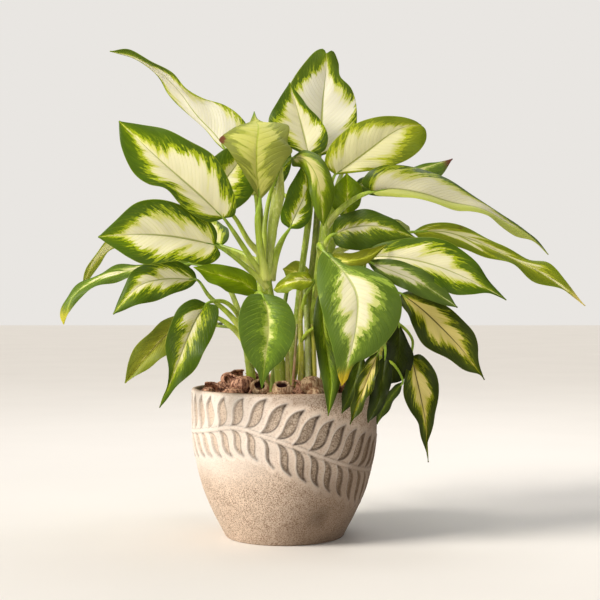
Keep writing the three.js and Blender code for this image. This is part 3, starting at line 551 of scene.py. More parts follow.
shoots["shoot_middle"] = {
    "cane": [[8, 131, 10], [8, 190, 12], [11, 225, 15], [15, 262, 20], [20, 310, 24], [28, 370, 24],
        [34, 432, 22]],
    "radii": [5, 4.8, 4.2, 3.8, 3.8, 4.2, 4],
    "leaf_top": {
        "near": [8, 6], "thick": [3.6, 2.6],
        "stalk": [[34, 428, 22], [38, 440, 32]],
        "rib": [[42, 450, 40], [44, 486, 52], [46, 520, 58], [49, 548, 58], [50, 573, 52]],
        "left": [[16, 460], [-4, 484], [-4, 512], [10, 542], [24, 562], [38, 576], [46, 578]],
        "right": [[66, 458], [84, 480], [86, 504], [80, 530], [66, 546], [64, 562], [57, 576]]},
    "leaf_top_folded": {
        "near": [4, 10],
        "stalk": [[34, 424, 21], [32, 438, 15]],
        "rib": [[29, 450, 10], [24, 472, 18], [18, 496, 24], [12, 518, 26], [6, 538, 26]],
        "left": [[10, 458], [-14, 474], [-19, 494], [-8, 516]],
        "right": [[48, 458], [52, 474], [42, 494], [24, 514]]},
    "leaf_middle_round": {
        "near": [2, 2], "thick": [3, 1.8],
        "stalk": [[18, 290, 22], [26, 291, 34]],
        "rib": [[34, 294, 44], [18, 310, 52], [-2, 316, 56]],
        "left": [[24, 294], [6, 300]],
        "right": [[32, 312], [14, 326]]},
    "leaf_middle_low": {
        "near": [2, 2], "thick": [3.4, 1.8],
        "stalk": [[9, 176, 10], [15, 204, -4], [20, 230, -18], [36, 246, -32], [62, 244, -50],
            [82, 230, -66]],
        "rib": [[92, 216, -76], [84, 184, -92], [76, 162, -98], [68, 144, -98]],
        "left": [[80, 206], [72, 180], [68, 162]],
        "right": [[100, 190], [94, 168], [78, 152]]},
    "leaf_middle_yellow": {
        "near": [10, -2], "thick": [4.4, 2.4],
        "stalk": [[12, 238, 16], [20, 262, -2], [26, 286, -20]],
        "rib": [[36, 302, -32], [18, 303, -40], [0, 298, -40], [-13, 291, -38]],
        "left": [[30, 294], [8, 290], [-8, 287]],
        "right": [[26, 312], [6, 310], [-8, 299]]},
    "leaf_back_top": {
        "wide": 72, "face": [0, 0.6, 0.8],
        "stalk": [[34, 426, 24], [33, 438, 52]],
        "rib": [[30, 448, 84], [26, 486, 116], [22, 508, 162], [20, 496, 214]]},
    "leaf_back_centre": {
        "wide": 74, "face": [0, 0.5, 0.85],
        "stalk": [[29, 376, 26], [12, 396, 52]],
        "rib": [[-16, 414, 80], [-24, 444, 118], [-30, 456, 172], [-36, 438, 226]]},
    "leaf_back_low": {
        "wide": 60, "face": [0, 0.7, 0.7],
        "stalk": [[10, 214, 14], [-2, 236, 44]],
        "rib": [[-12, 246, 76], [-22, 258, 116], [-24, 242, 168], [-22, 204, 204]]},
}
shoots["shoot_right_front"] = {
    "cane": [[30, 130, -10], [31, 200, -11], [36, 262, -14], [44, 330, -18], [50, 388, -14]],
    "radii": [5, 4.8, 5.2, 6.6, 5],
    "leaf_right_yellow_oval": {
        "near": [6, 2],
        "stalk": [[49, 378, -15], [53, 404, -11]],
        "rib": [[60, 428, -6], [84, 445, -16], [104, 460, -22], [125, 476, -22], [143, 485, -20],
            [163, 487, -16]],
        "left": [[48, 440], [54, 462], [78, 485], [110, 497], [140, 497], [156, 492]],
        "right": [[80, 430], [120, 436], [146, 446], [161, 457], [169, 471], [168, 482]]},
    "leaf_right_long": {
        "near": [-26, 10], "thick": [4, 2.6],
        "stalk": [[48, 366, -16], [68, 388, -18], [88, 402, -21]],
        "rib": [[104, 408, -26], [130, 411, -44], [162, 406, -54], [198, 395, -58], [236, 387, -60],
            [268, 369, -58], [292, 355, -55], [314, 333, -52]],
        "left": [[92, 418], [101, 432], [114, 438], [134, 440], [160, 437], [190, 425], [218, 406],
            [250, 387], [270, 374], [286, 361], [300, 350]],
        "right": [[108, 404], [130, 402], [152, 400], [176, 394], [204, 387], [222, 386], [241, 379],
            [256, 366], [275, 355], [296, 350]]},
    "leaf_right_dark": {
        "near": [-6, 2],
        "stalk": [[46, 342, -18], [51, 350, -23]],
        "rib": [[56, 356, -30], [84, 366, -46], [118, 366, -58], [156, 353, -64]],
        "left": [[60, 374], [84, 386], [108, 385], [134, 372]],
        "right": [[62, 344], [90, 338], [126, 342]]},
    "leaf_front_largest": {
        "near": [3, 2], "thick": [4, 2.8],
        "stalk": [[44, 328, -18], [41, 342, -34], [42, 344, -52]],
        "rib": [[46, 338, -66], [74, 308, -92], [86, 284, -104], [86, 256, -110], [80, 222, -112],
            [68, 177, -106]],
        "left": [[40, 326], [38, 300], [42, 276], [52, 240], [60, 208], [64, 188]],
        "right": [[70, 328], [102, 316], [128, 300], [139, 278], [137, 254], [122, 230], [100, 211],
            [84, 203], [78, 193], [74, 183]]},
    "leaf_folded_young": {
        "near": [-2, 3], "thick": [3, 2],
        "stalk": [[46, 318, -17], [48, 328, -36], [50, 331, -54]],
        "rib": [[55, 329, -72], [76, 326, -84], [100, 331, -84], [122, 345, -74]],
        "left": [[60, 336], [78, 335], [102, 341]],
        "right": [[62, 320], [76, 317], [98, 322]]},
    "leaf_front_long_dark": {
        "near": [2, 2],
        "stalk": [[38, 282, -15], [41, 298, -38]],
        "rib": [[45, 294, -62], [46, 250, -74], [52, 206, -88], [56, 180, -106], [54, 160, -112],
            [52, 141, -114]],
        "left": [[38, 280], [34, 244], [40, 208], [46, 176]],
        "right": [[56, 272], [68, 230], [68, 190], [60, 160]]},
}
shoots["shoot_right"] = {
    "cane": [[60, 131, -20], [62, 180, -22], [74, 215, -24], [84, 246, -26]],
    "radii": [6.2, 6, 5.8, 4.4],
    "leaf_right_large": {
        "near": [-4, 12], "thick": [4, 2.6],
        "stalk": [[80, 232, -25], [87, 272, -34], [91, 304, -44]],
        "rib": [[96, 330, -54], [130, 330, -72], [172, 322, -84], [214, 306, -90], [264, 279, -86]],
        "left": [[104, 342], [130, 350], [162, 354], [196, 348], [226, 326], [244, 302]],
        "right": [[112, 322], [140, 312], [172, 302], [196, 288], [222, 285], [246, 287]]},
    "leaf_right_slim": {
        "near": [-2, 2],
        "stalk": [[82, 240, -26], [90, 276, -46], [95, 308, -64]],
        "rib": [[98, 325, -78], [132, 312, -88], [164, 298, -98], [206, 270, -104]],
        "left": [[112, 328], [140, 325], [168, 313], [190, 294]],
        "right": [[108, 312], [134, 296], [162, 283], [186, 274]]},
    "leaf_right_hanging": {
        "near": [6, 6],
        "stalk": [[82, 240, -25], [98, 268, -24], [120, 286, -24]],
        "rib": [[138, 287, -30], [160, 271, -42], [186, 247, -52], [212, 219, -54], [238, 184, -50]],
        "left": [[138, 276], [147, 262], [152, 248], [163, 229], [175, 219], [197, 207], [216, 195],
            [232, 190]],
        "right": [[150, 290], [164, 286], [192, 272], [211, 257], [225, 241], [230, 226], [231, 208]]},
    "leaf_right_lowest": {
        "near": [4, 6], "thick": [3, 1.8],
        "stalk": [[78, 228, -24], [106, 254, -12], [136, 250, -4], [152, 232, -12]],
        "rib": [[151, 212, -20], [156, 190, -30], [162, 164, -36], [168, 132, -36], [171, 86, -30]],
        "left": [[145, 198], [142, 172], [148, 148], [160, 130], [165, 110]],
        "right": [[162, 214], [178, 196], [184, 166], [178, 138], [171, 112]]},
    "leaf_right_shaded": {
        "near": [4, 4], "thick": [3, 1.8],
        "stalk": [[80, 234, -26], [104, 256, -26], [126, 262, -20]],
        "rib": [[136, 252, -22], [136, 228, -28], [132, 202, -28], [122, 178, -20]],
        "left": [[124, 236], [116, 210], [114, 190]],
        "right": [[146, 232], [154, 208], [144, 186]]},
    "leaf_right_sliver": {
        "near": [4, -4], "thick": [2.6, 1.6],
        "stalk": [[70, 202, -23], [96, 214, -26], [128, 204, -32]],
        "rib": [[141, 181, -36], [130, 168, -40], [118, 151, -44], [110, 131, -46]],
        "left": [[132, 178], [118, 164], [110, 146]],
        "right": [[138, 172], [128, 154], [116, 138]]},
    "leaf_rim_yellow": {
        "near": [4, 6], "thick": [3, 1.8],
        "stalk": [[83, 242, -26], [100, 248, -52], [112, 236, -78]],
        "rib": [[112, 218, -96], [102, 194, -108], [90, 162, -120], [78, 131, -122]],
        "left": [[100, 210], [86, 182], [80, 156]],
        "right": [[112, 196], [104, 172], [90, 146]]},
    "leaf_rim_dark": {
        "near": [4, 2], "thick": [3, 1.8],
        "stalk": [[82, 238, -26], [102, 238, -42], [118, 228, -58]],
        "rib": [[120, 214, -70], [116, 186, -80], [112, 158, -86], [99, 133, -92]],
        "left": [[108, 200], [104, 172], [98, 150]],
        "right": [[128, 196], [124, 168], [112, 144]]},
}
shoots["shoot_back_right"] = {
    "cane": [[46, 135, 34], [50, 240, 42], [54, 320, 48], [58, 396, 46], [62, 414, 44]],
    "radii": [6.2, 6, 6, 5.6, 4],
    "leaf_right_behind": {
        "near": [-4, 6],
        "stalk": [[59, 400, 46], [68, 408, 42]],
        "rib": [[82, 414, 36], [115, 422, 50], [155, 433, 58], [200, 447, 58]],
        "left": [[90, 424], [120, 430], [160, 439]],
        "right": [[100, 404], [140, 406], [184, 424]]},
    "leaf_behind_stem": {
        "near": [4, 4], "thick": [3, 1.8],
        "stalk": [[56, 352, 47], [64, 364, 28]],
        "rib": [[72, 376, 8], [74, 400, 14], [74, 430, 16]],
        "left": [[58, 388], [56, 408]],
        "right": [[88, 390], [92, 412]]},
    "leaf_far_right": {
        "near": [-6, 14], "thick": [3.8, 2.4],
        "stalk": [[56, 334, 47], [96, 350, 48], [128, 358, 44]],
        "rib": [[152, 360, 42], [190, 360, 52], [230, 348, 58], [272, 328, 58], [310, 308, 54],
            [358, 272, 48]],
        "left": [[168, 369], [192, 371], [220, 364], [256, 345], [290, 328], [314, 324], [334, 302]],
        "right": [[162, 352], [196, 344], [236, 332], [270, 321], [296, 302], [330, 291]]},
    "leaf_back_right_upper": {
        "wide": 74, "face": [0.2, 0.4, 0.9],
        "stalk": [[60, 404, 47], [66, 424, 66]],
        "rib": [[74, 440, 88], [94, 460, 130], [114, 468, 178], [132, 452, 234]]},
    "leaf_back_right_middle": {
        "wide": 72, "face": [0.3, 0.3, 0.9],
        "stalk": [[56, 344, 50], [66, 352, 66]],
        "rib": [[78, 358, 86], [100, 368, 128], [126, 360, 180], [146, 332, 226]]},
    "leaf_back_right_low": {
        "wide": 72, "face": [0.2, 0.5, 0.85],
        "stalk": [[52, 268, 46], [58, 284, 66]],
        "rib": [[66, 294, 88], [80, 304, 130], [94, 292, 184], [104, 256, 230]]},
    "leaf_back_right_hanging": {
        "wide": 54, "face": [0.4, 0.6, 0.7],
        "stalk": [[50, 226, 42], [64, 242, 56]],
        "rib": [[82, 246, 76], [98, 240, 112], [112, 218, 154], [120, 182, 180]]},
}
shoots["shoot_back_left"] = {
    "cane": [[-22, 135, 30], [-26, 240, 40], [-28, 320, 48], [-32, 400, 52], [-38, 420, 54]],
    "radii": [6.2, 6, 6, 5.6, 4],
    "leaf_upper_left": {
        "near": [-8, 16], "thick": [4, 2.4],
        "stalk": [[-34, 406, 52], [-50, 432, 54]],
        "rib": [[-66, 452, 56], [-80, 472, 58], [-105, 499, 62], [-126, 528, 64], [-148, 549, 60],
            [-178, 567, 52], [-208, 575, 44]],
        "left": [[-79, 464], [-92, 480], [-112, 496], [-126, 510], [-138, 525], [-148, 541], [-162, 554],
            [-182, 568]],
        "right": [[-52, 462], [-44, 484], [-54, 499], [-72, 511], [-97, 519], [-116, 532], [-132, 549],
            [-158, 561], [-186, 578]]},
    "leaf_left_curled": {
        "near": [-10, 14], "thick": [3, 1.8],
        "stalk": [[-28, 312, 46], [-58, 334, 46], [-94, 346, 42]],
        "rib": [[-130, 352, 40], [-172, 353, 46], [-206, 345, 52], [-224, 328, 56], [-234, 311, 57],
            [-241, 292, 57]],
        "left": [[-150, 344], [-185, 344], [-208, 336], [-221, 321], [-230, 306]],
        "right": [[-150, 361], [-185, 361], [-212, 348], [-229, 329], [-238, 309]]},
    "leaf_left_behind": {
        "near": [4, 4],
        "stalk": [[-29, 334, 47], [-42, 348, 40], [-60, 378, 32], [-78, 394, 26]],
        "rib": [[-90, 398, 22], [-76, 416, 26], [-60, 436, 24], [-44, 462, 16]],
        "left": [[-106, 410], [-104, 428], [-88, 446], [-64, 462]],
        "right": [[-74, 384], [-56, 388], [-36, 410], [-32, 440]]},
    "leaf_back_left_upper": {
        "wide": 72, "face": [-0.2, 0.2, 0.95],
        "stalk": [[-35, 410, 56], [-50, 412, 72]],
        "rib": [[-70, 412, 92], [-92, 430, 130], [-114, 438, 182], [-132, 424, 232]]},
    "leaf_back_left_middle": {
        "wide": 74, "face": [-0.2, 0.2, 0.95],
        "stalk": [[-28, 322, 52], [-50, 334, 66]],
        "rib": [[-76, 344, 84], [-100, 360, 126], [-126, 364, 178], [-146, 344, 228]]},
    "leaf_back_left_low": {
        "wide": 56, "face": [-0.3, 0.6, 0.7],
        "stalk": [[-26, 226, 40], [-50, 244, 56]],
        "rib": [[-80, 248, 78], [-98, 246, 116], [-110, 226, 160], [-116, 190, 188]]},
}


# Leaf colours

# screen colours of the cream centre, the tinge at its edge, the halo round it, the green, the
# margin and the midrib. shaded is painted shade: darker, greyer greens for leaves that lie in shade.
# deep and dark are partly painted shade for leaves low in the plant, partly their own darker greens.
tints = ("Cream", "Tinge", "Halo", "Green", "Margin", "Rib")
palettes = {
    "fresh": [(248, 243, 200), (232, 232, 128), (176, 192, 28),
              (100, 128, 2), (74, 102, 6), (172, 178, 92)],
    "shaded": [(240, 235, 194), (216, 220, 132), (148, 172, 60),
               (102, 128, 34), (88, 114, 30), (184, 192, 116)],
    "fishbone": [(212, 216, 132), (178, 194, 84), (136, 162, 44),
                 (100, 128, 34), (84, 110, 28), (200, 204, 120)],
    "deep": [(226, 210, 130), (202, 194, 70), (142, 150, 20),
             (76, 90, 2), (52, 66, 2), (72, 66, 28)],
    "dark": [(130, 142, 40), (112, 128, 24), (92, 112, 8),
             (66, 84, 2), (44, 58, 2), (84, 98, 20)],
    "yellow": [(244, 240, 184), (226, 226, 124), (192, 200, 44),
               (150, 162, 26), (124, 142, 22), (172, 180, 70)],
    "aged": [(212, 208, 108), (190, 192, 76), (154, 160, 36),
             (118, 124, 10), (96, 102, 4), (172, 186, 30)],
    "pale": [(248, 244, 220), (236, 234, 156), (182, 196, 44),
             (106, 132, 8), (84, 108, 10), (176, 184, 90)],
    "plain": [(232, 224, 140), (196, 206, 70), (152, 174, 10),
              (122, 148, 0), (98, 124, 2), (150, 170, 40)],
    "olive": [(230, 224, 142), (206, 204, 96), (174, 178, 58),
              (146, 152, 40), (120, 132, 34), (168, 168, 74)],
}

# share: how far out the cream reaches, 0 to 1. reach: how near the tip. start: how near the base.
# jag: how torn its edge is. light: how pale the leaf's tones are, painted light and shade for how
# brightly the leaf is lit. veining: how much its side veins show. sweep: how far they run towards
# the tip. pleat: how deeply they crease it. gap: millimetres between them. wave: how far the edge
# waves. end: colour of a withered tip. spots: brown spots as [across, up, size, strength]. back:
# seen from below. under: a half of the blade turned over.
leafLook = {"palette": "fresh", "share": 0.6, "reach": 0.9, "start": 0.02, "jag": 0.36,
            "veining": 0.14, "end": None, "spots": [], "wave": 2.0, "back": False,
            "sweep": 0.26, "pleat": 1.0, "gap": 5.6, "under": None, "light": 1.0}
leafLooks = {
    "leaf_upper_left": {"palette": "pale", "share": 0.84, "reach": 1.0, "jag": 0.3, "veining": 0.22},
    "leaf_left_large": {"share": 0.58, "reach": 0.94, "jag": 0.52},
    "leaf_left_broad": {"share": 0.68, "reach": 0.94, "jag": 0.44, "veining": 0.3},
    "leaf_left_middle": {"share": 0.36, "jag": 0.56, "light": 0.93},
    "leaf_left_narrow": {"palette": "shaded", "share": 0.22, "reach": 0.8, "wave": 3, "jag": 0.7,
                         "end": (196, 190, 60)},
    "leaf_left_curled": {"palette": "yellow", "share": 0.66, "reach": 1.0, "light": 1.07},
    "leaf_left_low": {"share": 0.27, "reach": 0.82, "jag": 0.56, "wave": 2.6, "light": 0.87,
                      "start": 0.1},
    "leaf_left_olive": {"palette": "olive", "share": 0.12, "reach": 0.7, "jag": 0.4},
    "leaf_front_heart": {"palette": "fishbone", "share": 0.1, "reach": 0.86, "start": 0.08,
                         "jag": 0.34, "sweep": 0.1, "wave": 1.2, "veining": 0.9},
    "leaf_plain_green": {"palette": "plain", "share": 0.04, "reach": 0.8, "jag": 0.3, "light": 1.08},
    "leaf_top_underside": {"palette": "aged", "share": 0.46, "back": True, "veining": 0.5,
                           "jag": 1.1, "wave": 3, "pleat": 4.2, "gap": 9.5, "sweep": 0.16,
                           "end": (104, 132, 40), "spots": [(-76, 470, 8, 0.8)], "light": 0.93},
    "leaf_left_behind": {"share": 0.35},
    "leaf_centre_drooping": {"palette": "plain", "share": 0.34, "reach": 0.95, "jag": 0.5,
                             "light": 0.86},
    "leaf_centre_small": {"share": 0.22, "jag": 0.5, "light": 1.08},
    "leaf_top": {"palette": "pale", "share": 0.8, "reach": 1.0, "jag": 0.46, "wave": 3, "light": 0.96},
    "leaf_top_folded": {"share": 0.6, "reach": 0.98, "jag": 0.46, "light": 0.93},
    "leaf_right_yellow_oval": {"palette": "yellow", "share": 0.68, "reach": 0.98, "jag": 0.46,
                               "light": 0.95},
    "leaf_right_long": {"share": 0.74, "jag": 0.4, "under": "right", "light": 0.8},
    "leaf_right_behind": {"palette": "shaded", "share": 0.3, "end": (96, 48, 40), "light": 0.88},
    "leaf_behind_stem": {"palette": "plain", "share": 0.1, "reach": 0.8},
    "leaf_right_dark": {"share": 0.18, "reach": 0.8, "jag": 0.5, "light": 0.77},
    "leaf_far_right": {"palette": "yellow", "share": 0.2, "reach": 1.0, "jag": 0.9,
                       "end": (226, 206, 120), "spots": [(210, 366, 7, 0.5)], "light": 0.95},
    "leaf_front_largest": {"palette": "shaded", "share": 0.54, "start": 0.26, "jag": 0.5,
                           "wave": 1.4, "sweep": 0.12, "end": (196, 168, 36), "light": 0.98},
    "leaf_right_large": {"share": 0.5, "reach": 0.95, "jag": 0.54, "light": 0.92},
    "leaf_right_slim": {"palette": "shaded", "share": 0.34, "reach": 0.8, "jag": 0.5, "light": 0.77},
    "leaf_right_hanging": {"palette": "deep", "share": 0.42, "reach": 0.92, "jag": 0.5, "wave": 3},
    "leaf_right_lowest": {"palette": "deep", "share": 0.32, "reach": 0.86, "jag": 0.5, "wave": 4,
                          "light": 0.94},
    "leaf_right_shaded": {"palette": "dark", "share": 0.03, "reach": 0.6, "wave": 3, "light": 0.62},
    "leaf_right_sliver": {"palette": "dark", "share": 0.03, "reach": 0.6},
    "leaf_rim_dark": {"palette": "dark", "share": 0.03, "reach": 0.6, "wave": 3, "light": 0.7},
    "leaf_middle_low": {"palette": "dark", "share": 0.04, "reach": 0.6, "wave": 3, "light": 0.92},
    "leaf_rim_yellow": {"palette": "deep", "share": 0.34, "jag": 0.8, "wave": 3, "light": 0.92},
    "leaf_front_long_dark": {"palette": "dark", "share": 0.02, "light": 1.25},
    "leaf_middle_yellow": {"palette": "yellow", "share": 0.2, "jag": 0.4},
    "leaf_middle_round": {"palette": "olive", "share": 0.24, "reach": 0.8},
    "leaf_folded_young": {"palette": "aged", "share": 0.3, "reach": 0.5, "jag": 0.4, "wave": 1},
    "leaf_back_low": {"palette": "deep", "share": 0.4},
    "leaf_back_right_hanging": {"palette": "deep", "share": 0.38},
    "leaf_back_left_low": {"palette": "deep", "share": 0.42},
}
skinTints = {
    "underside": (176, 184, 88),
    "foldShade": (58, 84, 30),       # painted shade in the crease where half a blade turns over
    "spot": (104, 56, 30),
}
veinBend = 0.08  # how much more a side vein turns to the tip near the edge


def buildLeafGroup():
    # Cream centre torn along the side veins, halo, green and margin, veins and midrib
    tree, given, made = newGroup(
        "feathered_leaf", ["Color", "Height", "Roughness"],
        Cream=None, Tinge=None, Halo=None, Green=None, Margin=None, Rib=None, End=None,
        Share=0.6, Reach=0.9, Start=0.02, Jag=0.3, Veins=16.0, Veining=0.3, Seed=0.0,
        Withered=0.0, Sweep=0.26)
    across, along = onSurface(tree)
    signed = across * 2.0 - 1.0
    out = calc("ABSOLUTE", signed)
    side = calc("GREATER_THAN", signed, 0.0)

    # where the side vein through this point leaves the midrib
    root = along - out * given["Sweep"] - out * out * veinBend

    def streaks(density, widening, detail, shift):
        # noise drawn out along the side veins, -0.5 to 0.5
        place = together(root * density, out * widening, side * 7.3 + (given["Seed"] + shift))
        return cloud(place, 1.0, detail, 0.6) - 0.5

    def pointed(value):
        # turns rounded noise into sharp tongues
        return calc("ABSOLUTE", value) * -4.0 + 0.45

    sectors = streaks(7.0, 0.7, 1.0, 0.0)
    tongues = pointed(streaks(17.0, 1.0, 2.0, 3.1))
    hairs = pointed(streaks(64.0, 2.4, 1.0, 5.7))
    flecks = streaks(60.0, 11.0, 2.0, 9.2)
    blots = streaks(30.0, 6.0, 2.0, 13.7)

    # the cream narrows towards the base and the tip
    opening = ease(along, given["Start"] - 0.07, given["Start"] + 0.13)
    closing = ease(along, given["Reach"] - 0.5, given["Reach"], 1.0, 0.0)
    width = given["Share"] * opening * closing
    torn = (tongues * 0.55 + sectors * 1.7) * (given["Jag"] * opening) * (closing * 0.65 + 0.35)
    edge = width - out + torn
    creamMask = ease(edge + hairs * 0.09 + flecks * 0.34, -0.01, 0.025)
    haloMask = ease(edge + hairs * 0.13 - flecks * 0.5 + blots * 0.55, -0.15, -0.08)

    # green that darkens to the margin, mottled paler and darker along the side veins, then
    # halo and cream over it
    colour = mixed(ease(tongues * 0.3 + out, 0.3, 0.95), given["Green"], given["Margin"])
    lively = ease(blots, -0.02, 0.16) * ease(edge, -0.5, -0.12)
    colour = mixed(lively * 0.6, colour, given["Halo"])
    colour = mixed(haloMask, colour, given["Halo"])
    sombre = ease(flecks, 0.02, 0.14) * ease(edge, -0.02, -0.1)
    colour = mixed(sombre * 0.4, colour, given["Margin"])
    cream = mixed(ease(sectors * 0.6 + edge, 0.0, 0.2), given["Tinge"], given["Cream"])
    colour = mixed(creamMask, colour, cream)
    colour = toned(colour, ease(sectors, -0.22, 0.22, 0.88, 1.07))

    # side veins, which show in the cream and hardly in the green, and the midrib
    crest = calc("ABSOLUTE", calc("SINE", root * given["Veins"] * math.pi + side * (math.pi / 2)))
    vein = ease(crest, 0.0, 0.5, 1.0, 0.0) * ease(out, 0.7, 1.0, 1.0, 0.0)
    veinColour = mixed(creamMask, given["Halo"], given["Tinge"])
    veinHere = given["Veining"] * ease(edge, -0.2, 0.1, 0.25, 1.0) * ease(blots, -0.15, 0.15, 0.3, 1.6)
    colour = mixed(vein * veinHere, colour, veinColour)
    ribWidth = ease(along, 0.0, 0.9, 0.042, 0.008)
    colour = mixed(ease(ribWidth - out, -0.018, 0.012) * 0.85, colour, given["Rib"])

    # a thin pale rim (a painted highlight along the edge), a paler back, a dark line of painted shade
    # where half a blade turns over, a withered end and brown spots
    colour = mixed(ease(out, 0.975, 0.995, 0.0, 0.4), colour, given["Halo"])
    back = painted(tree, "underside")
    colour = mixed(back * 0.34, colour, colourOf(skinTints["underside"]))
    # painted shade along the crease where half a blade turns over
    foldShade = ease(back * (1.0 - back), 0.04, 0.2) * ease(out, 0.1, 0.3, 1.0, 0.0)
    colour = mixed(foldShade * 0.8, colour, colourOf(skinTints["foldShade"]))
    dry = ease(flecks * 0.2 + along, 0.86, 0.97)
    colour = mixed(dry * given["Withered"], colour, given["End"])
    spots = ease(flecks * 0.9 + painted(tree, "spot"), 0.36, 0.62)
    feed(made["Color"], mixed(spots, colour, colourOf(skinTints["spot"])))

    pores = cells(inPlace(tree), 1400.0)
    height = vein * -0.5 + hairs * 0.1 + pores * 0.015
    feed(made["Height"], height * painted(tree, "broad"))
    feed(made["Roughness"], sectors * 0.24 + 0.4 + back * 0.16)
    return tree


leafPattern = buildLeafGroup()


def veinCount(look, length):
    return max(length / look["gap"], 5)


def leafMaterial(name, look, seed, length):
    values = {part.capitalize(): look[part]
              for part in ("share", "reach", "start", "jag", "veining", "sweep")}
    # light makes all of the leaf's tones paler or darker: painted light and shade for how brightly it is
    # lit
    for tint, colour in zip(tints, palettes[look["palette"]]):
        values[tint] = colourOf([min(c * look["light"], 255) for c in colour])
    material, tree, surface = newMaterial(name + "_blade")
    made = useGroup(tree, leafPattern, **values, End=colourOf(look["end"] or (0, 0, 0)),
                    Veins=veinCount(look, length), Seed=seed, Withered=1.0 if look["end"] else 0.0)
    dress(surface, made["Color"], made["Roughness"], made["Height"], 0.7, 0.0008)
    makeLeafy(surface)
    surface["Specular IOR Level"].default_value = 0.16
    return material


stemLooks = {
    # colour at the base, in the middle and at the top, that of the flecks, and how many of them
    "leaf_stalk_skin": [(216, 222, 112), (174, 196, 52), (142, 176, 40), (220, 228, 134), 0.35],
    "cane_skin": [(208, 208, 106), (160, 182, 50), (160, 182, 50), (226, 222, 150), 0.55],
    "rolled_leaf_skin": [(176, 190, 84), (172, 188, 74), (196, 204, 92), (226, 228, 150), 0.6],
}


def buildStemGroup():
    # Stalk and cane skin: base to top colour, long flecks, faint ribs along the stem
    tree, given, made = newGroup("stem_skin", ["Color", "Height", "Roughness"],
                                 Base=None, Middle=None, Top=None, Fleck=None, Flecks=0.5)
    across, along = onSurface(tree)
    place = stretched(inPlace(tree), (1.0, 1.0, 0.28))
    spots = cloud(place, 620.0, 3.0, 0.6)
    patches = cloud(place, 110.0)
    colour = mixed(ease(along, 0.0, 0.45), given["Base"], given["Middle"])
    colour = mixed(ease(along, 0.45, 1.0), colour, given["Top"])
    colour = mixed(ease(spots, 0.52, 0.68) * given["Flecks"], colour, given["Fleck"])
    feed(made["Color"], toned(colour, ease(patches, 0.3, 0.7, 0.64, 1.1)))
    ribs = calc("SINE", across * (wholeTurn * 9))
    feed(made["Height"], ribs * 0.2 + spots)
    feed(made["Roughness"], ease(patches, 0.2, 0.8, 0.34, 0.54))
    return tree


stemSkin = buildStemGroup()


def stemMaterial(name, base, middle, top, fleck, flecks):
    material, tree, surface = newMaterial(name)
    made = useGroup(tree, stemSkin, Base=colourOf(base), Middle=colourOf(middle),
                    Top=colourOf(top), Fleck=colourOf(fleck), Flecks=flecks)
    dress(surface, made["Color"], made["Roughness"], made["Height"], 0.5, 0.0005)
    makeLeafy(surface)
    return material


stalkSkin, caneSkin, spearSkin = (stemMaterial(name, *look) for name, look in stemLooks.items())


# Blades

blade = {
    "thickness": 0.8,
    "rowStep": 2.6,
    "fewestRows": 20,
    "mostRows": 72,
    "arch": 0.15,       # how far each half of a blade bows up, as a share of its width
    "ribGroove": 0.5,
    "ribKeel": 1.1,     # how far the midrib stands out under the blade
    "quilting": 0.32,   # how far the leaf sinks along its side veins
    "flatWidth": 18,    # where half a blade is narrower, veins and bumps grow fainter
    "endWidth": 0.7,    # half a blade's width at its base and tip
    "belly": 0.42,      # where a back leaf is widest
    "lift": 14,         # how far, in degrees, the halves of a back leaf are folded up
}
bladeColumns = [0.0, 0.025, 0.055, 0.095, 0.15, 0.22, 0.3, 0.39,
                0.48, 0.57, 0.66, 0.75, 0.84, 0.92, 0.97, 1.0]
fromLeftToRight = np.array([-f for f in bladeColumns[:0:-1]] + bladeColumns)


def drawnRails(leaf, rows):
    # Left edge, midrib and right edge of a leaf that the photograph shows
    rib = smoothLine(sight(leaf["rib"]), rows)
    rails = []
    for near, edge in zip(leaf["near"], (leaf["left"], leaf["right"])):
        line = smoothLine([leaf["rib"][0][:2], *edge, leaf["rib"][-1][:2]], rows)
        forward = near * np.sin(math.pi * np.arange(rows + 1) / rows) ** 0.8
        rails.append(sight(np.column_stack([line, rib[:, 1] - forward])))
    return rails[0], rib, rails[1]


def halfWidths(t):
    belly = blade["belly"]
    rising = np.maximum(1 - (1 - t / belly) ** 2, 0) ** 0.6
    falling = np.maximum(np.cos(math.pi / 2 * (t - belly) / (1 - belly)), 0) ** 1.2
    return np.where(t < belly, rising, falling)


def spreadRails(leaf, rows):
    # The same of a leaf at the back, from its width and the way that it faces
    rib = smoothLine(sight(leaf["rib"]), rows)
    tangents = tangentsOf(rib)
    facing = np.array(leaf["face"], float)
    normals = unit(facing - tangents * (tangents @ facing)[:, None])
    across = np.cross(tangents, normals)
    half = (leaf["wide"] / 2 * halfWidths(np.arange(rows + 1) / rows))[:, None]
    lift = math.radians(blade["lift"])
    rails = [rib + across * side * math.cos(lift) * half + normals * math.sin(lift) * half
             for side in (-1, 1)]
    return rails[0], rib, rails[1]


def upFrom(left, rib, right, tangents):
    # Which way each half of the blade faces, row by row
    middle = (len(rib) - 1) // 2
    facing = np.cross(tangents[middle], right[middle] - left[middle])
    turned = 1 if facing @ np.array([0, -1, 0.7]) > 0 else -1
    halves = []
    for side in (rib - left, right - rib):
        up = unit(np.cross(tangents, side)) * turned
        padded = np.vstack([up[:1]] * 3 + [up] + [up[-1:]] * 3)
        soften = np.ones(7) / 7
        halves.append(unit(np.column_stack([np.convolve(padded[:, j], soften, "valid")
                                            for j in range(3)])))
    return halves


def bladeFaces(columns, rows):
    # Both skins of a blade and the narrow faces round its edge
    step = rows + 1
    count = columns * step
    i = np.arange(rows)
    last = (columns - 1) * step
    j = np.arange(columns - 1) * step
    return np.vstack([
        gridFaces(columns, step),
        gridFaces(columns, step, count, flip=True),
        np.stack([i + 1, i, count + i, count + i + 1], -1),
        np.stack([last + i, last + i + 1, count + last + i + 1, count + last + i], -1),
        np.stack([j, j + step, count + j + step, count + j], -1),
        np.stack([j + step + rows, j + rows, count + j + rows, count + j + step + rows], -1),
    ])


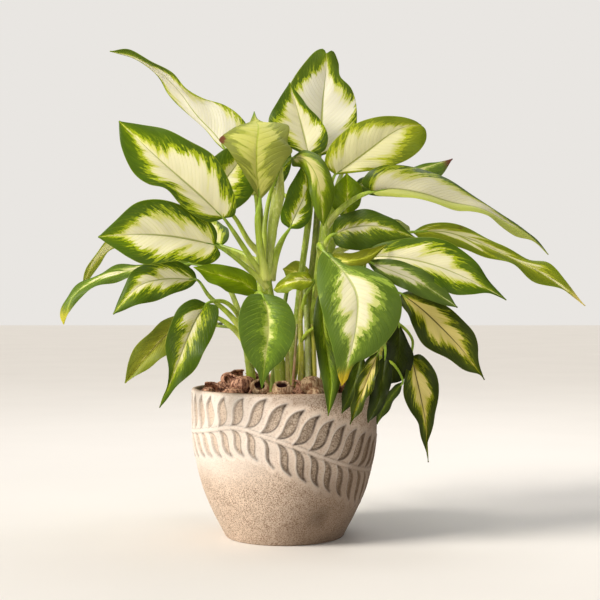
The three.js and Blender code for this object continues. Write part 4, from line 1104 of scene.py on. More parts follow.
def spotsOn(points, spots):
    # How much of a brown spot, given where the eye sees it, lies on each point
    eyeAcross, eyeBack, eyeUp = studio["eye"]
    nearer = eyeBack / (eyeBack - points[:, 1])
    seenAcross = eyeAcross + (points[:, 0] - eyeAcross) * nearer
    seenUp = eyeUp + (points[:, 2] - eyeUp) * nearer
    found = np.zeros(len(points))
    for across, up, size, strength in spots:
        away = (seenAcross - across) ** 2 + (seenUp - up) ** 2
        found = np.maximum(found, strength * np.exp(-away / size ** 2))
    return found


def bladeShape(leaf, look, rng):
    # Both faces of a blade on a grid from its left edge to its right, base to tip
    length = lengthOf(smoothLine(sight(leaf["rib"]), 40))
    rows = int(np.clip(length / blade["rowStep"], blade["fewestRows"], blade["mostRows"]))
    left, rib, right = (spreadRails if "face" in leaf else drawnRails)(leaf, rows)
    tangents = tangentsOf(rib)
    for i, inner in ((0, 1), (rows, rows - 1)):
        span = right[inner] - left[inner]
        span = span - tangents[i] * float(span @ tangents[i])
        span = span / max(np.linalg.norm(span), 1e-6)
        left[i] = rib[i] - span * blade["endWidth"]
        right[i] = rib[i] + span * blade["endWidth"]
    upLeft, upRight = upFrom(left, rib, right, tangents)
    t = np.arange(rows + 1) / rows
    ripples = rng.uniform(2.2, 3.6)
    starts = rng.uniform(0, wholeTurn, 2)
    top, under, uv, broad = [], [], [], []
    for f in fromLeftToRight:
        out = abs(f)
        edge, own = (left, upLeft) if f < 0 else (right, upRight)
        half = np.linalg.norm(edge - rib, axis=1)
        wide = np.minimum(half / blade["flatWidth"], 1)
        share = min(out / 0.15, 1)
        up = unit((upLeft + upRight) * (1 - share) * 0.5 + own * share)
        bow = 2 * blade["arch"] * half * out * (1 - out)
        wave = look["wave"] * out ** 2.5 * np.sin(wholeTurn * ripples * t + starts[int(f > 0)])
        wave *= np.sin(math.pi * t) ** 0.6
        phase = (t - look["sweep"] * out - veinBend * out ** 2) * veinCount(look, length) + 0.5 * (f > 0)
        quilt = (np.abs(np.sin(math.pi * phase)) - 0.62) * math.sqrt(4 * out * (1 - out))
        quilt *= blade["quilting"] * look["pleat"] * wide
        place = rib + (edge - rib) * out + up * (bow + wave + quilt)[:, None]
        thick = blade["thickness"] / 2 * (1 - 0.7 * out ** 8)
        grooved = thick - blade["ribGroove"] * hump(half * out, 1.5) * (1 - t)
        keel = thick + blade["ribKeel"] * hump(half * out, 1.9) * (1 - 0.75 * t)
        top.append(place + up * grooved[:, None])
        under.append(place - up * keel[:, None])
        uv.append(np.column_stack([np.full(rows + 1, 0.5 + 0.5 * f), t]))
        broad.append(wide ** 2)
    points = np.vstack([*top, *under])
    uv = np.vstack(uv + uv)
    back = np.repeat([1, 0] if look["back"] else [0, 1], len(points) // 2)
    if look["under"]:
        turned = uv[:, 0] > 0.51 if look["under"] == "right" else uv[:, 0] < 0.49
        back = np.where(turned, 2.4, back)
    marks = {"underside": back, "spot": spotsOn(points, look["spots"]),
             "broad": np.tile(np.concatenate(broad), 2)}
    faces = bladeFaces(len(fromLeftToRight), rows)
    return points, facingOut(points, faces), uv, marks, length


stalk = {"step": 3.2, "sides": 12, "fewest": 12, "most": 60, "thick": (3.6, 2.2),
         "tip": 1.0,         # radius where it runs into the midrib
         "foot": 0.3, "footLength": 14,
         "flatness": 0.1}    # how far it is from round


def stalkShape(leaf):
    rib = smoothLine(sight(leaf["rib"]), 12)
    points = np.vstack([sight(leaf["stalk"]), rib[:2]])
    length = lengthOf(smoothLine(points, 40))
    count = int(np.clip(length / stalk["step"], stalk["fewest"], stalk["most"]))
    low, high = leaf.get("thick", stalk["thick"])
    t = np.linspace(0, 1, count + 1)
    radii = np.interp(t, [0, 1 / 3, 2 / 3, 1], [low, (low + high) / 2, high, stalk["tip"]])
    radii *= 1 + stalk["foot"] * np.exp(-t * length / stalk["footLength"])
    return tube(smoothLine(points, count), radii, stalk["sides"],
                lambda along, turn: 1 - stalk["flatness"] * np.cos(2 * turn))


rng = np.random.default_rng(7)
for node, shoot in shoots.items():
    for name in [key for key in shoot if key.startswith("leaf_")]:
        leaf = shoot[name]
        look = {**leafLook, **leafLooks.get(name, {})}
        points, faces, uv, marks, length = bladeShape(leaf, look, rng)
        stalkPart = stalkShape(leaf)
        marks = {key: np.r_[values, np.zeros(len(stalkPart[0]))] for key, values in marks.items()}
        points, faces, uv, slots = joinShapes([(points, faces, uv), stalkPart])
        skin = leafMaterial(name, look, float(rng.uniform(0, 90)), length)
        settle(makePiece(name, points, faces, [skin, stalkSkin], uv, marks, slots), node)
print("leaves are made")


# Canes: thick upright stems with leaf scars, and the rolled young leaf

cane = {"step": 1.6, "sides": 28, "firstScar": 8, "scarGap": 21, "scarShift": 4,
        "scarHeight": 0.07, "scarWidth": 0.9, "top": 0.6, "ripple": 0.025}
rolledLeaf = {"rows": 71, "sides": 30, "least": 0.9, "overlap": 0.16, "winding": 1.3}


def scarred(radii, run, places, height, width):
    # Rings round a stem where its leaves once grew
    for place in places:
        radii = radii * (1 + height * hump(run - place, width))
    return radii


def caneShape(shoot):
    points = sight(shoot["cane"])
    length = lengthOf(smoothLine(points, 60))
    count = int(length / cane["step"])
    scars = [place + cane["scarShift"] * math.sin(n * 2.4)
             for n, place in enumerate(np.arange(cane["firstScar"], length, cane["scarGap"]))]
    radii = scarred(spreadOver(shoot["radii"], count + 1), np.linspace(0, 1, count + 1) * length,
                    scars, cane["scarHeight"], cane["scarWidth"])
    radii[-1] *= cane["top"]
    return tube(smoothLine(points, count), radii, cane["sides"],
                lambda along, turn: 1 + cane["ripple"] * np.sin(2 * turn + along * 5))


def spearShape(spear):
    def rolled(along, turn):
        # the outer edge of the roll winds slowly up the spear
        wound = (turn / wholeTurn + along * rolledLeaf["winding"]) % 1
        return rolledLeaf["least"] + rolledLeaf["overlap"] * wound
    rows = rolledLeaf["rows"]
    return tube(smoothLine(sight(spear["path"]), rows - 1), spreadOver(spear["radii"], rows),
                rolledLeaf["sides"], rolled)


for node, shoot in shoots.items():
    shapes = [caneShape(shoot)]
    if "spear" in shoot:
        shapes.append(spearShape(shoot["spear"]))
    points, faces, uv, slots = joinShapes(shapes)
    piece = makePiece(node.replace("shoot", "cane"), points, faces, [caneSkin, spearSkin], uv,
                      None, slots)
    settle(piece, node)
print("canes are made")


# Old bare stems and a dry one that stand among the canes, where the pot is fullest

oldStems = {
    "stem_dry": {
        "path": [(10, 133, -34), (10, 172, -33), (12, 206, -30), (15, 250, -21)],
        "radii": (2.0, 1.8, 1.6, 1.2),
        "look": [(206, 150, 120), (196, 150, 108), (158, 160, 84), (228, 204, 170)]},
    "stem_tan": {
        "path": [(5, 133, -27), (5, 160, -26), (4, 190, -24), (2, 230, -20)],
        "radii": (3.2, 3.0, 2.7, 2.2),
        "look": [(224, 204, 140), (200, 190, 104), (170, 178, 70), (238, 226, 180)]},
    "stem_forked": {
        "path": [(14, 133, -26), (17, 158, -27), (19, 186, -25), (20, 214, -20), (19, 250, -12),
                 (20, 300, 4)],
        "radii": (3.9, 3.6, 3.3, 3.1, 2.8, 2.2),
        "look": [(232, 222, 130), (206, 206, 66), (182, 190, 50), (240, 234, 170)]},
    "stem_pale": {
        "path": [(27, 135, -25), (28, 172, -25), (28, 214, -22), (26, 262, -14), (23, 312, 0)],
        "radii": (3.6, 3.5, 3.2, 2.8, 2.2),
        "look": [(226, 226, 196), (190, 200, 116), (150, 170, 56), (240, 236, 210)]},
    "stem_yellow": {
        "path": [(36, 137, -21), (36, 180, -22), (35, 222, -24), (33, 250, -22)],
        "radii": (3.0, 2.8, 2.6, 2.0),
        "look": [(226, 220, 130), (214, 208, 84), (190, 190, 60), (236, 228, 160)]},
    "stem_back": {
        "path": [(-16, 140, 18), (-13, 190, 20), (-6, 240, 22), (4, 296, 24)],
        "radii": (3.6, 3.4, 3.0, 2.4),
        "look": [(170, 186, 84), (140, 162, 58), (126, 150, 50), (206, 212, 140)]},
    "stem_shaded": {
        "path": [(26, 137, 16), (28, 220, 16), (32, 300, 14), (37, 350, 12), (40, 404, 10)],
        "radii": (4.4, 4.4, 4.6, 4.6, 3.6),
        "look": [(150, 150, 66), (128, 142, 30), (116, 132, 28), (176, 160, 90)]},
}
oldStem = {"rows": 91, "sides": 20, "firstScar": 10, "scarGap": 24, "scarHeight": 0.1,
           "scarWidth": 1.0, "ripple": 0.04, "flecks": 0.6}
for name, stem in oldStems.items():
    line = smoothLine(sight(stem["path"]), oldStem["rows"] - 1)
    run = np.linspace(0, lengthOf(line), oldStem["rows"])
    scars = np.arange(oldStem["firstScar"], run[-1], oldStem["scarGap"])
    radii = scarred(spreadOver(stem["radii"], oldStem["rows"]), run, scars,
                    oldStem["scarHeight"], oldStem["scarWidth"])
    points, faces, uv = tube(line, radii, oldStem["sides"],
                             lambda along, turn: 1 + oldStem["ripple"] * np.sin(3 * turn + along * 4))
    skin = stemMaterial(name + "_skin", *stem["look"], oldStem["flecks"])
    settle(makePiece(name, points, faces, [skin], uv))
print("old stems are made")


# Pot: a turned clay wall with a vine cut into it

pot = {
    "outline": [(0, 70), (8, 74), (24, 82.5), (41, 90.4), (58, 97), (76, 102), (96, 106.4),
                (118, 109.4), (141, 110), (175, 110)],  # height and radius
    "radius": 110,
    "height": 175,
    "wall": 6.5,
    "floor": 9,
    "lip": 2,
    "columns": 700,
    "plainRows": (1.5, 40, 13),          # from, to and how many rows of points low down
    "reliefRows": (41.4, 172.5, 1.25),   # from, to and the step between rows among the leaflets
    "insideRows": (166, 158, 140, 118, 76, 41),
    "reliefDepth": 2.0,
    # the vine: millimetres round the wall from the front, and height, once round the pot
    "vine": [(-137, 127), (-95, 132), (-55, 137), (-20, 128), (20, 114), (60, 99), (100, 88),
             (146, 81), (205, 80), (270, 86), (335, 98), (400, 110), (470, 120)],
    "vineRise": 0.6,
    "vineHalfWidth": 1.9,
    "vineGroove": 0.3,           # how deep the wall sinks beside the vine
    "crests": (0.7, 0.15),       # how far a leaflet's left and right edges stand out
    "unevenness": (0.35, 0.12),  # broad and fine
    "leaflets": 38,
    "firstLeaflet": 29,
    "leafletSteps": 40,
    "fromVine": 2.2,             # from the middle of the vine to the foot of a leaflet
    # place round the wall, lean of the upper and the lower leaflets, length of the lower ones
    "leans": [(-137, 85, 45, 34), (-90, 82, 54, 33), (-60, 61, 62, 32), (-38, 49, 68, 34),
              (0, 45, 66, 41), (50, 50, 71, 39), (100, 51, 66, 43), (205, 60, 60, 40),
              (335, 66, 52, 38), (470, 78, 48, 36), (554, 85, 45, 34)],
    "upperLength": 43,
    "upperTop": 169.5,           # no upper leaflet reaches higher
    "upperHalfWidth": 6.3,
    "lowerHalfWidth": 4.3,
    "upperSway": (1.7, 2.5),     # how far leaflets bow, and how far they turn over like a flame
    "lowerSway": (0.9, 2.7),
    "faint": (-30, -12),         # between these places the lower leaflets hardly show
    "faintWidth": 0.4,
    "leafletReach": (-34, 62),   # round the wall from its foot, no leaflet is cut beyond these
    "leafletRise": 34,           # nor further than this above or below its middle
    # light and dark speckles
    "raised": [(240, 220, 200), (210, 180, 156)],
    "recess": [(214, 194, 172), (146, 124, 102)],
    "sand": [(234, 212, 190), (142, 112, 88)],
    "worn": (252, 247, 240),     # paint worn pale along the crests, with a painted highlight there and on the vine
    "wash": (46, 32, 22),        # dark line left in the corners
    # painted shade: darker low down on the right and in a band under the rim
    "lowShade": (96, 74, 52),
    "stainPlace": (46, -88, 30),
    "stain": (88, 70, 52),
    "rim": (170, 142, 116),
    # painted shade: the inside wall in the dark tone it shows in shadow
    "inside": (112, 98, 80),
    "fineGrain": 860.0,
    "paintGrain": 560.0,
}
wallRound = wholeTurn * pot["radius"]


def potRadius(heights):
    z, r = np.array(pot["outline"], float).T
    return np.interp(heights, z, r)


def vineHeight(around):
    # A closed smooth line through the vine's points
    points = np.array(pot["vine"], float)
    looped = np.vstack([points[-3:] - [wallRound, 0], points, points[:3] + [wallRound, 0]])
    line = smoothLine(looped, 900)
    wrapped = (np.asarray(around) - points[0, 0]) % wallRound + points[0, 0]
    return np.interp(wrapped, line[:, 0], line[:, 1])


def leafletLine(around, side):
    # Centre and half width of one leaflet, cut above the vine (side 1) or below it (side -1)
    place, upper, lower, lowerLength = np.array(pot["leans"], float).T
    at = (around - place[0]) % (place[-1] - place[0]) + place[0]
    lean = math.radians(np.interp(at, place, upper if side > 0 else -lower))
    foot = float(vineHeight(around)) + pot["fromVine"] * side
    if side > 0:
        length = min(pot["upperLength"], (pot["upperTop"] - foot) / math.sin(lean))
        widest = pot["upperHalfWidth"]
        bow, twist = pot["upperSway"]
    else:
        length = np.interp(at, place, lowerLength)
        hidden = pot["faint"][0] < around < pot["faint"][1]
        widest = pot["lowerHalfWidth"] * (pot["faintWidth"] if hidden else 1)
        bow, twist = pot["lowerSway"]
    # a flame: it leaves along the vine, turns away from it and leans over at the tip
    t = np.linspace(0, 1, pot["leafletSteps"] + 1)
    sway = -side * (bow * np.sin(math.pi * t) + twist * np.sin(wholeTurn * t))
    x = around + length * t * math.cos(lean) - sway * math.sin(lean)
    z = foot + length * t * math.sin(lean) + sway * math.cos(lean)
    return x, z, widest * np.sin(math.pi * t) ** 1.1


def reliefDepths(around, heights):
    # For each point: how far inside the nearest leaflet it lies, in millimetres, below 0
    # outside, on which side of that leaflet's centre line, -1 left to 1 right, and how near its tip
    inside = np.full(around.shape, -9.0)
    onSide = np.zeros(around.shape)
    toTip = np.zeros(around.shape)
    nearest, farthest = pot["leafletReach"]
    for k in range(pot["leaflets"]):
        start = pot["firstLeaflet"] + k * wallRound / pot["leaflets"]
        start = (start + wallRound / 2) % wallRound - wallRound / 2
        for side in (1, -1):
            x, z, half = leafletLine(start, side)
            gap = (around - start + wallRound / 2) % wallRound - wallRound / 2
            level = np.abs(heights - z.mean()) < pot["leafletRise"]
            near = np.nonzero((gap > nearest) & (gap < farthest) & level)
            dx = gap[near][:, None] - (x - start)
            dz = heights[near][:, None] - z
            deep = half - np.sqrt(dx ** 2 + dz ** 2)
            best = deep.argmax(axis=1)
            rows = np.arange(len(best))
            alongX, alongZ = np.gradient(x), np.gradient(z)
            turned = alongZ[best] * dx[rows, best] - alongX[best] * dz[rows, best]
            better = deep[rows, best] > inside[near]
            spot = near[0][better]
            inside[spot] = deep[rows, best][better]
            onSide[spot] = (np.sign(turned) * side)[better]
            toTip[spot] = best[better] / pot["leafletSteps"]
    return inside, onSide, toTip


def wander(angle, heights):
    # The uneven surface of hand-finished clay
    broad, fine = pot["unevenness"]
    values = []
    for a, z in zip(angle.tolist(), heights.tolist()):
        place = Vector((2.2 * math.cos(a), 2.2 * math.sin(a), z * 0.02))
        values.append(broad * noise.noise(place) + fine * noise.noise(place * 9))
    return np.array(values)


def potOutline():
    # Heights and radii from the middle of the foot up the wall, over the lip and down inside
    wallRows = np.r_[np.linspace(*pot["plainRows"]), np.arange(*pot["reliefRows"])]
    foot, lip, wall = pot["outline"][0][1], pot["lip"], pot["wall"]
    heights = [0.0, 0.0, 0.4, *wallRows]
    radii = [0.0, foot - 1.6, foot - 0.4, *potRadius(wallRows)]
    for inward, angles in ((False, [20, 45, 70, 90]), (True, [90, 60, 30, 0])):
        for angle in np.radians(angles):
            heights.append(pot["height"] - lip + lip * math.sin(angle))
            if inward:
                radii.append(pot["radius"] - wall + lip - lip * math.cos(angle))
            else:
                radii.append(pot["radius"] - lip + lip * math.cos(angle))
    for height in (*pot["insideRows"], pot["floor"]):
        heights.append(height)
        radii.append(float(potRadius(height)) - wall)
    return np.array([*heights, pot["floor"]]), np.array([*radii, 0.0]), len(wallRows)


def potShape():
    heights, radii, wallRows = potOutline()
    columns = pot["columns"]
    z = np.repeat(heights[1:-1, None], columns, axis=1)
    r = np.repeat(radii[1:-1, None], columns, axis=1)
    angle = np.repeat(evenTurns(columns)[None], len(heights) - 2, axis=0)
    around = ((angle + math.pi) % wholeTurn - math.pi) * pot["radius"]
    outer = np.zeros(z.shape, bool)
    outer[2:2 + wallRows] = True

    inside = np.full(z.shape, -9.0)
    onSide = np.zeros(z.shape)
    toTip = np.zeros(z.shape)
    inside[outer], onSide[outer], toTip[outer] = reliefDepths(around[outer], z[outer])
    slope = (vineHeight(around + 2) - vineHeight(around - 2)) / 4
    fromVine = np.abs(z - vineHeight(around)) / np.sqrt(1 + slope ** 2)
    leftEdge = onSide < 0

    # leaflets are sunk, with a raised crest at their left edge, and the vine stands out
    cut = softStep(inside, -0.3, 0.9) * pot["reliefDepth"]
    crest = np.where(leftEdge, *pot["crests"]) * hump(inside + 1.3, 1.1)
    vine = pot["vineRise"] * hump(fromVine, pot["vineHalfWidth"])
    vine -= pot["vineGroove"] * hump(fromVine - 3.2, 0.8)
    shift = np.where(outer, crest + np.where(inside < -0.5, vine, 0) - cut, 0.0)
    shift[outer] += wander(angle[outer], z[outer])
    r = r + shift
    ring = np.stack([r * np.sin(angle), -r * np.cos(angle), z], -1).reshape(-1, 3)
    points = np.vstack([ring, [[0, 0, heights[0]], [0, 0, heights[-1]]]])

    # where the clay is dark in the corners, and pale on the crests: worn paint with a painted highlight
    corner = hump(inside - 0.35, 0.95 + 0.9 * toTip ** 3)
    corner *= np.where(leftEdge, 0.45 + 0.5 * toTip ** 4, 1.0)
    besideVine = 0.5 * hump(fromVine - 2.6, 0.7) * outer * (inside < 0)
    rubbedAndHighlit = hump(inside + 1.2, 0.7) * leftEdge
    onVine = 0.4 * hump(fromVine, 1.3) * (inside < -0.5)
    innerSide = np.ones(z.shape)
    innerSide[:2 + wallRows + 4] = 0
    marks = {
        "recess": softStep(inside, 0.0, 0.9),
        "corner": np.maximum(corner, besideVine),
        "rubbedAndHighlit": np.maximum(rubbedAndHighlit, onVine) * outer,
        "in_relief": softStep(inside, -9.0, -5.5) * outer,
        "inner": innerSide,
        "rim": hump(z - pot["height"], 1.3),
    }
    marks = {name: np.r_[values.ravel(), 0, 0] for name, values in marks.items()}
    marks["inner"][-1] = 1
    faces = closedRings(len(heights) - 2, columns)
    return points, facingOut(points, faces), marks


def potMaterial():
    material, tree, surface = newMaterial("washed_clay")
    recess = painted(tree, "recess")
    raised = grained(tree, pot["raised"], pot["paintGrain"], 0.42)
    pitted = grained(tree, pot["recess"], pot["paintGrain"], 0.5)
    sandy = grained(tree, pot["sand"], pot["fineGrain"], 0.47)
    across, up = apart(inPlace(tree))[::2]
    patches = cloud(inPlace(tree), 20.0, 3.0, 0.6)
    broad = cloud(inPlace(tree), 9.0)

    # plain sandy clay low down and where no leaflet is cut, paler paint among the leaflets
    # the upper left side is paler: partly white paint, partly painted light where the lamp falls on it
    leftward = ease(patches * 0.08 + across, -0.05, 0.08, 1.0, 0.0)
    whitewashAndPaintedLight = leftward * ease(patches * 0.03 + up, 0.075, 0.11)
    paint = calc("MAXIMUM", painted(tree, "in_relief"), whitewashAndPaintedLight * 0.8)
    colour = mixed(paint, sandy["Color"], raised["Color"])
    floorOfCut = mixed(whitewashAndPaintedLight * 0.8, pitted["Color"], raised["Color"])
    colour = mixed(recess, colour, floorOfCut)
    # pale crests: worn paint with a painted highlight, stronger on the left side where the light falls
    rubbedAndHighlit = painted(tree, "rubbedAndHighlit") * ease(leftward, 0.0, 1.0, 0.5, 0.85)
    pale = calc("MAXIMUM", rubbedAndHighlit, whitewashAndPaintedLight * paint * 0.45)
    colour = mixed(pale * (1.0 - recess), colour, colourOf(pot["worn"]))
    worn = ease(cloud(inPlace(tree), 160.0), 0.3, 0.62, 0.7, 1.0)
    dark = painted(tree, "corner") * worn * ease(whitewashAndPaintedLight, 0.0, 1.0, 1.0, 0.72)
    colour = mixed(dark, colour, colourOf(pot["wash"]))

    # darker and browner low down on the right: painted shade, partly the clay's own browner tone; and a
    # painted shadow of the leaves in a band under the rim
    shadeAndBrowning = ease(broad * 0.14 + across - up * 0.5, 0.0, 0.13)
    colour = mixed(shadeAndBrowning * 0.8, colour, colourOf(pot["lowShade"]))
    shadowUnderRim = ease(up, 0.158, 0.166, 0.0, 0.36) * ease(across, -0.04, 0.02)
    colour = mixed(shadowUnderRim, colour, colourOf(pot["lowShade"]))
    stainPlace = Vector(pot["stainPlace"]) * millimetre
    away = addNode(tree, "VectorMath", {0: inPlace(tree), 1: stainPlace}, "Value",
                   operation="DISTANCE")
    smudge = ease(patches * 0.02 + away, 0.016, 0.036, 0.8, 0.0)
    colour = mixed(smudge, colour, colourOf(pot["stain"]))
    colour = toned(colour, ease(patches, 0.3, 0.7, 0.93, 1.03))
    colour = mixed(painted(tree, "rim") * 0.7, colour, colourOf(pot["rim"]))
    # painted shade: the whole inside wall painted dark
    colour = mixed(painted(tree, "inner"), colour, colourOf(pot["inside"]))
    dress(surface, colour, ease(sandy["Mask"], 0.0, 1.0, 0.92, 0.74),
          (recess * 0.5 + 0.6) * sandy["Height"], 0.75, 0.0011)
    return material


points, faces, marks = potShape()
clayPot = makePiece("pot_with_vine_relief", points, faces, [potMaterial()], None, marks)
settle(clayPot, "pot")
print("pot is made")


# Soil and what lies on it

soil = {
    "top": 162,
    "gap": 0.8,                        # between soil and pot
    "rows": (9.35, 41, 76, 118, 160),  # heights of the rings of points at its side
    "looseRadii": (101.5, 2.5, 58),    # from, to and how many rings on the loose top
    "columns": 150,
    "crumbs": 1.6,
    "sunk": 0.8,                       # how far the loose top lies lower on average
    "highest": 0.2,                    # and how high a crumb may stand
    "colours": [(92, 70, 52), (46, 34, 26)],
    "grain": 380.0,
    "balance": 0.58,
}
husk = {
    "brown": [(212, 160, 128), (106, 64, 46)],
    "tan": [(234, 200, 158), (156, 108, 74)],
    "hole": (58, 14, 10),
    "grain": 340.0,
    "stretch": 0.35,             # the grain is drawn out upwards
    "above": 0.35,               # the lowest husks lie this far above the soil
    "rows": 34,
    "columns": 48,
    "lobing": 0.05,
    "wrinkles": (0.09, 0.04),    # broad and fine
    "sway": 0.25,                # how far wrinkles move a point up or down
}


def soilShape():
    rings = [(float(potRadius(z)) - pot["wall"] - soil["gap"], z, False) for z in soil["rows"]]
    rings += [(r, soil["top"], True) for r in np.linspace(*soil["looseRadii"])]
    points = []
    for r, z, loose in rings:
        for a in evenTurns(soil["columns"]):
            x, y = r * math.sin(a), -r * math.cos(a)
            lift = 0.0
            if loose:
                lump = noise.noise(Vector((x * 0.16, y * 0.16, 3)))
                grit = noise.noise(Vector((x * 0.55, y * 0.55, 9)))
                lift = min(soil["crumbs"] * (lump + 0.6 * grit) - soil["sunk"], soil["highest"])
            points.append((x, y, z + lift))
    points = np.array([*points, (0, 0, soil["rows"][0]), (0, 0, soil["top"] - 1)])
    return points, facingOut(points, closedRings(len(rings), soil["columns"]))


def grainMaterial(name, colours, grain, balance, stretch=1.0):
    material, tree, surface = newMaterial(name)
    made = grained(tree, colours, grain, balance, stretch)
    dress(surface, made["Color"], ease(made["Mask"], 0.0, 1.0, 0.9, 0.75), made["Height"], 0.8, 0.0008)
    return material


points, faces = soilShape()
soilSkin = grainMaterial("potting_soil", soil["colours"], soil["grain"], soil["balance"])
bed = makePiece("soil_bed", points, faces, [soilSkin])
settle(bed, "soil")
print("soil is made")


# Husks: across, back, height of the lowest point, kind, size, turn, tilt, colour

onSoil = soil["top"] + husk["above"]
pods = [
    (-77, -43, onSoil, "curl", 13, 30, 10, "brown"),
    (-58, -69, onSoil, "nut", 12, 20, 0, "brown"),
    (-57, -17, onSoil, "curl", 12, 70, 15, "brown"),
    (-31, -80, onSoil, "cup", 10.5, 0, 32, "brown"),
    (-4, -87, onSoil, "cup", 11, 40, 14, "tan"),
    (17, -88, onSoil, "nut", 8.5, 0, 0, "brown"),
    (36, -76, onSoil, "nut", 13.5, 75, 0, "tan"),
    (60, -66, onSoil, "curl", 12, 120, 10, "brown"),
    (80, -42, onSoil, "cup", 10.5, 160, 24, "brown"),
    (91, -14, onSoil, "curl", 11, 95, 8, "tan"),
    (90, 16, onSoil, "nut", 11, 80, 0, "brown"),
    (80, 44, onSoil, "curl", 12, 140, 12, "brown"),
    (61, 68, onSoil, "cup", 11, 200, 20, "tan"),
    (33, 84, onSoil, "curl", 12, 20, 10, "brown"),
    (4, 90, onSoil, "nut", 12, 10, 0, "brown"),
    (-26, 86, onSoil, "cup", 11, 240, 22, "brown"),
    (-53, 73, onSoil, "curl", 12, 40, 12, "tan"),
    (-75, 49, onSoil, "nut", 12, 130, 0, "brown"),
    (-88, 20, onSoil, "curl", 11.5, 90, 8, "brown"),
    (-90, -11, onSoil, "nut", 9.5, 60, 0, "brown"),
    (5, -48, onSoil, "curl", 12, 10, 12, "brown"),
    (-14, -58, onSoil, "nut", 8, 30, 0, "tan"),
    (-64, 14, onSoil, "cup", 10.5, 300, 20, "tan"),
    (14, 58, onSoil, "cup", 11, 60, 18, "brown"),
    (62, 14, onSoil, "nut", 11, 20, 0, "tan"),
]
upperHusks = [
    # lying on the first layer
    (-61, -46, 173, "curl", 13, 52, 16, "brown"),
    (-46, -56, 172, "nut", 14, 20, 0, "brown"),
    (-56, -28, 176, "curl", 13.5, 110, -14, "brown"),
    (-66, -12, 174, "curl", 11, 20, 12, "brown"),
    (-38, -34, 174, "curl", 12, 75, 20, "brown"),
    (-27, -77, 170, "cup", 11, 0, 58, "tan"),
    (-2, -82, 168, "cup", 12, 0, 26, "tan"),
    (15, -72, 170, "curl", 11, 35, 18, "brown"),
    (31, -68, 171, "nut", 15, 60, 0, "tan"),
    (50, -58, 170, "curl", 12, 150, 14, "brown"),
    (66, -30, 172, "cup", 11, 120, 20, "brown"),
    (72, 8, 174, "curl", 12, 80, 12, "tan"),
    (58, 44, 173, "nut", 12, 30, 0, "brown"),
    (26, 66, 173, "curl", 12.5, 160, 14, "brown"),
    (-10, 72, 173, "cup", 11, 60, 18, "tan"),
    (-42, 56, 174, "curl", 12, 20, 12, "brown"),
    (-68, 30, 174, "nut", 12, 100, 0, "brown"),
]
nut = {"outline": [(0, -0.72), (0.62, -0.56), (0.96, -0.1), (0.84, 0.4), (0.45, 0.66), (0, 0.74)],
       "lobes": 5, "squeeze": (1.15, 0.82)}
cup = {"outline": [(0, -0.7), (0.62, -0.56), (0.98, 0), (0.8, 0.52), (0.68, 0.66), (0.54, 0.62),
                   (0.56, 0.2), (0.4, -0.3), (0, -0.42)],
       "lobes": 4, "squeeze": (1, 1)}
curl = {
    "around": 40,
    "along": 22,
    "bend": (-2.5, 4.3),         # where the roll begins, and how far it goes round
    "outer": 0.61,
    "inner": 0.45,
    "unwinding": 0.27,
    "halfLength": 0.85,
    "narrowing": 0.22,           # how much narrower the roll is at its ends
    "crinkles": (0.08, 0.05),    # broad and fine
    "tear": 0.12,
}


def turnedPod(pod, size, seed):
    # A dried pod: a turned outline with soft lobes and a wrinkled skin. The last number says how
    # far along the outline a point lies.
    line = smoothLine(np.array(pod["outline"], float) * size, husk["rows"])
    columns = husk["columns"]
    wide, deep = pod["squeeze"]
    broad, fine = husk["wrinkles"]
    points = []
    for r, z in line[1:-1]:
        for a in evenTurns(columns):
            lobe = 1 + husk["lobing"] * math.cos(pod["lobes"] * a + seed)
            place = Vector((math.cos(a) * 1.4, math.sin(a) * 1.4, z * 0.12 + seed * 7))
            wrinkle = 1 + broad * noise.noise(place) + fine * noise.noise(place * 4)
            reach = max(r, 0.0) * lobe * wrinkle
            points.append((reach * math.cos(a) * wide, reach * math.sin(a) * deep,
                           z + husk["sway"] * noise.noise(place * 3)))
    rows = len(line) - 2
    points = np.array([*points, (0, 0, line[0][1]), (0, 0, line[-1][1])], float)
    hollow = np.r_[np.repeat(np.arange(rows) / rows, columns), 0, 1]
    return points, facingOut(points, closedRings(rows, columns)), hollow


def curledBark(size, seed):
    # A strip of bark bent round on itself, with torn ends
    around, along = curl["around"], curl["along"]
    begin, bend = curl["bend"]
    broad, fine = curl["crinkles"]
    points = []
    for i in range(along + 1):
        s = i / along * 2 - 1
        squeeze = 1 - curl["narrowing"] * s * s
        skins = [(curl["outer"], 0, k) for k in range(around + 1)]
        skins += [(curl["inner"], 2, k) for k in range(around, -1, -1)]
        for reach, shift, k in skins:
            t = k / around
            angle = begin + bend * t
            place = Vector((t * 3, s * 1.6, seed * 5 + shift))
            crinkle = 1 + broad * noise.noise(place) + fine * noise.noise(place * 4)
            radius = size * (reach + curl["unwinding"] * t) * crinkle * squeeze
            end = Vector((t * 5, seed, 1 if s > 0 else 4))
            torn = curl["tear"] * size * noise.noise(end) * abs(s) ** 3
            points.append((radius * math.cos(angle), s * size * curl["halfLength"] + torn,
                           radius * math.sin(angle)))
    points = np.array(points, float)
    columns = 2 * (around + 1)
    faces = [gridFaces(along + 1, columns, around=True)]
    # the torn ends are closed by a strip between the outer and the inner skin
    for row, flip in ((0, False), (along, True)):
        a = row * columns + np.arange(around)
        b = row * columns + columns - 1 - np.arange(around)
        strip = np.stack([a, b, b - 1, a + 1], -1)
        faces.append(strip[:, ::-1] if flip else strip)
    return points, facingOut(points, np.vstack(faces)), np.zeros(len(points))


def podShape(kind, size, seed):
    if kind == "curl":
        return curledBark(size, seed)
    points, faces, hollow = turnedPod(nut if kind == "nut" else cup, size, seed)
    return points, faces, hollow * (kind == "cup")


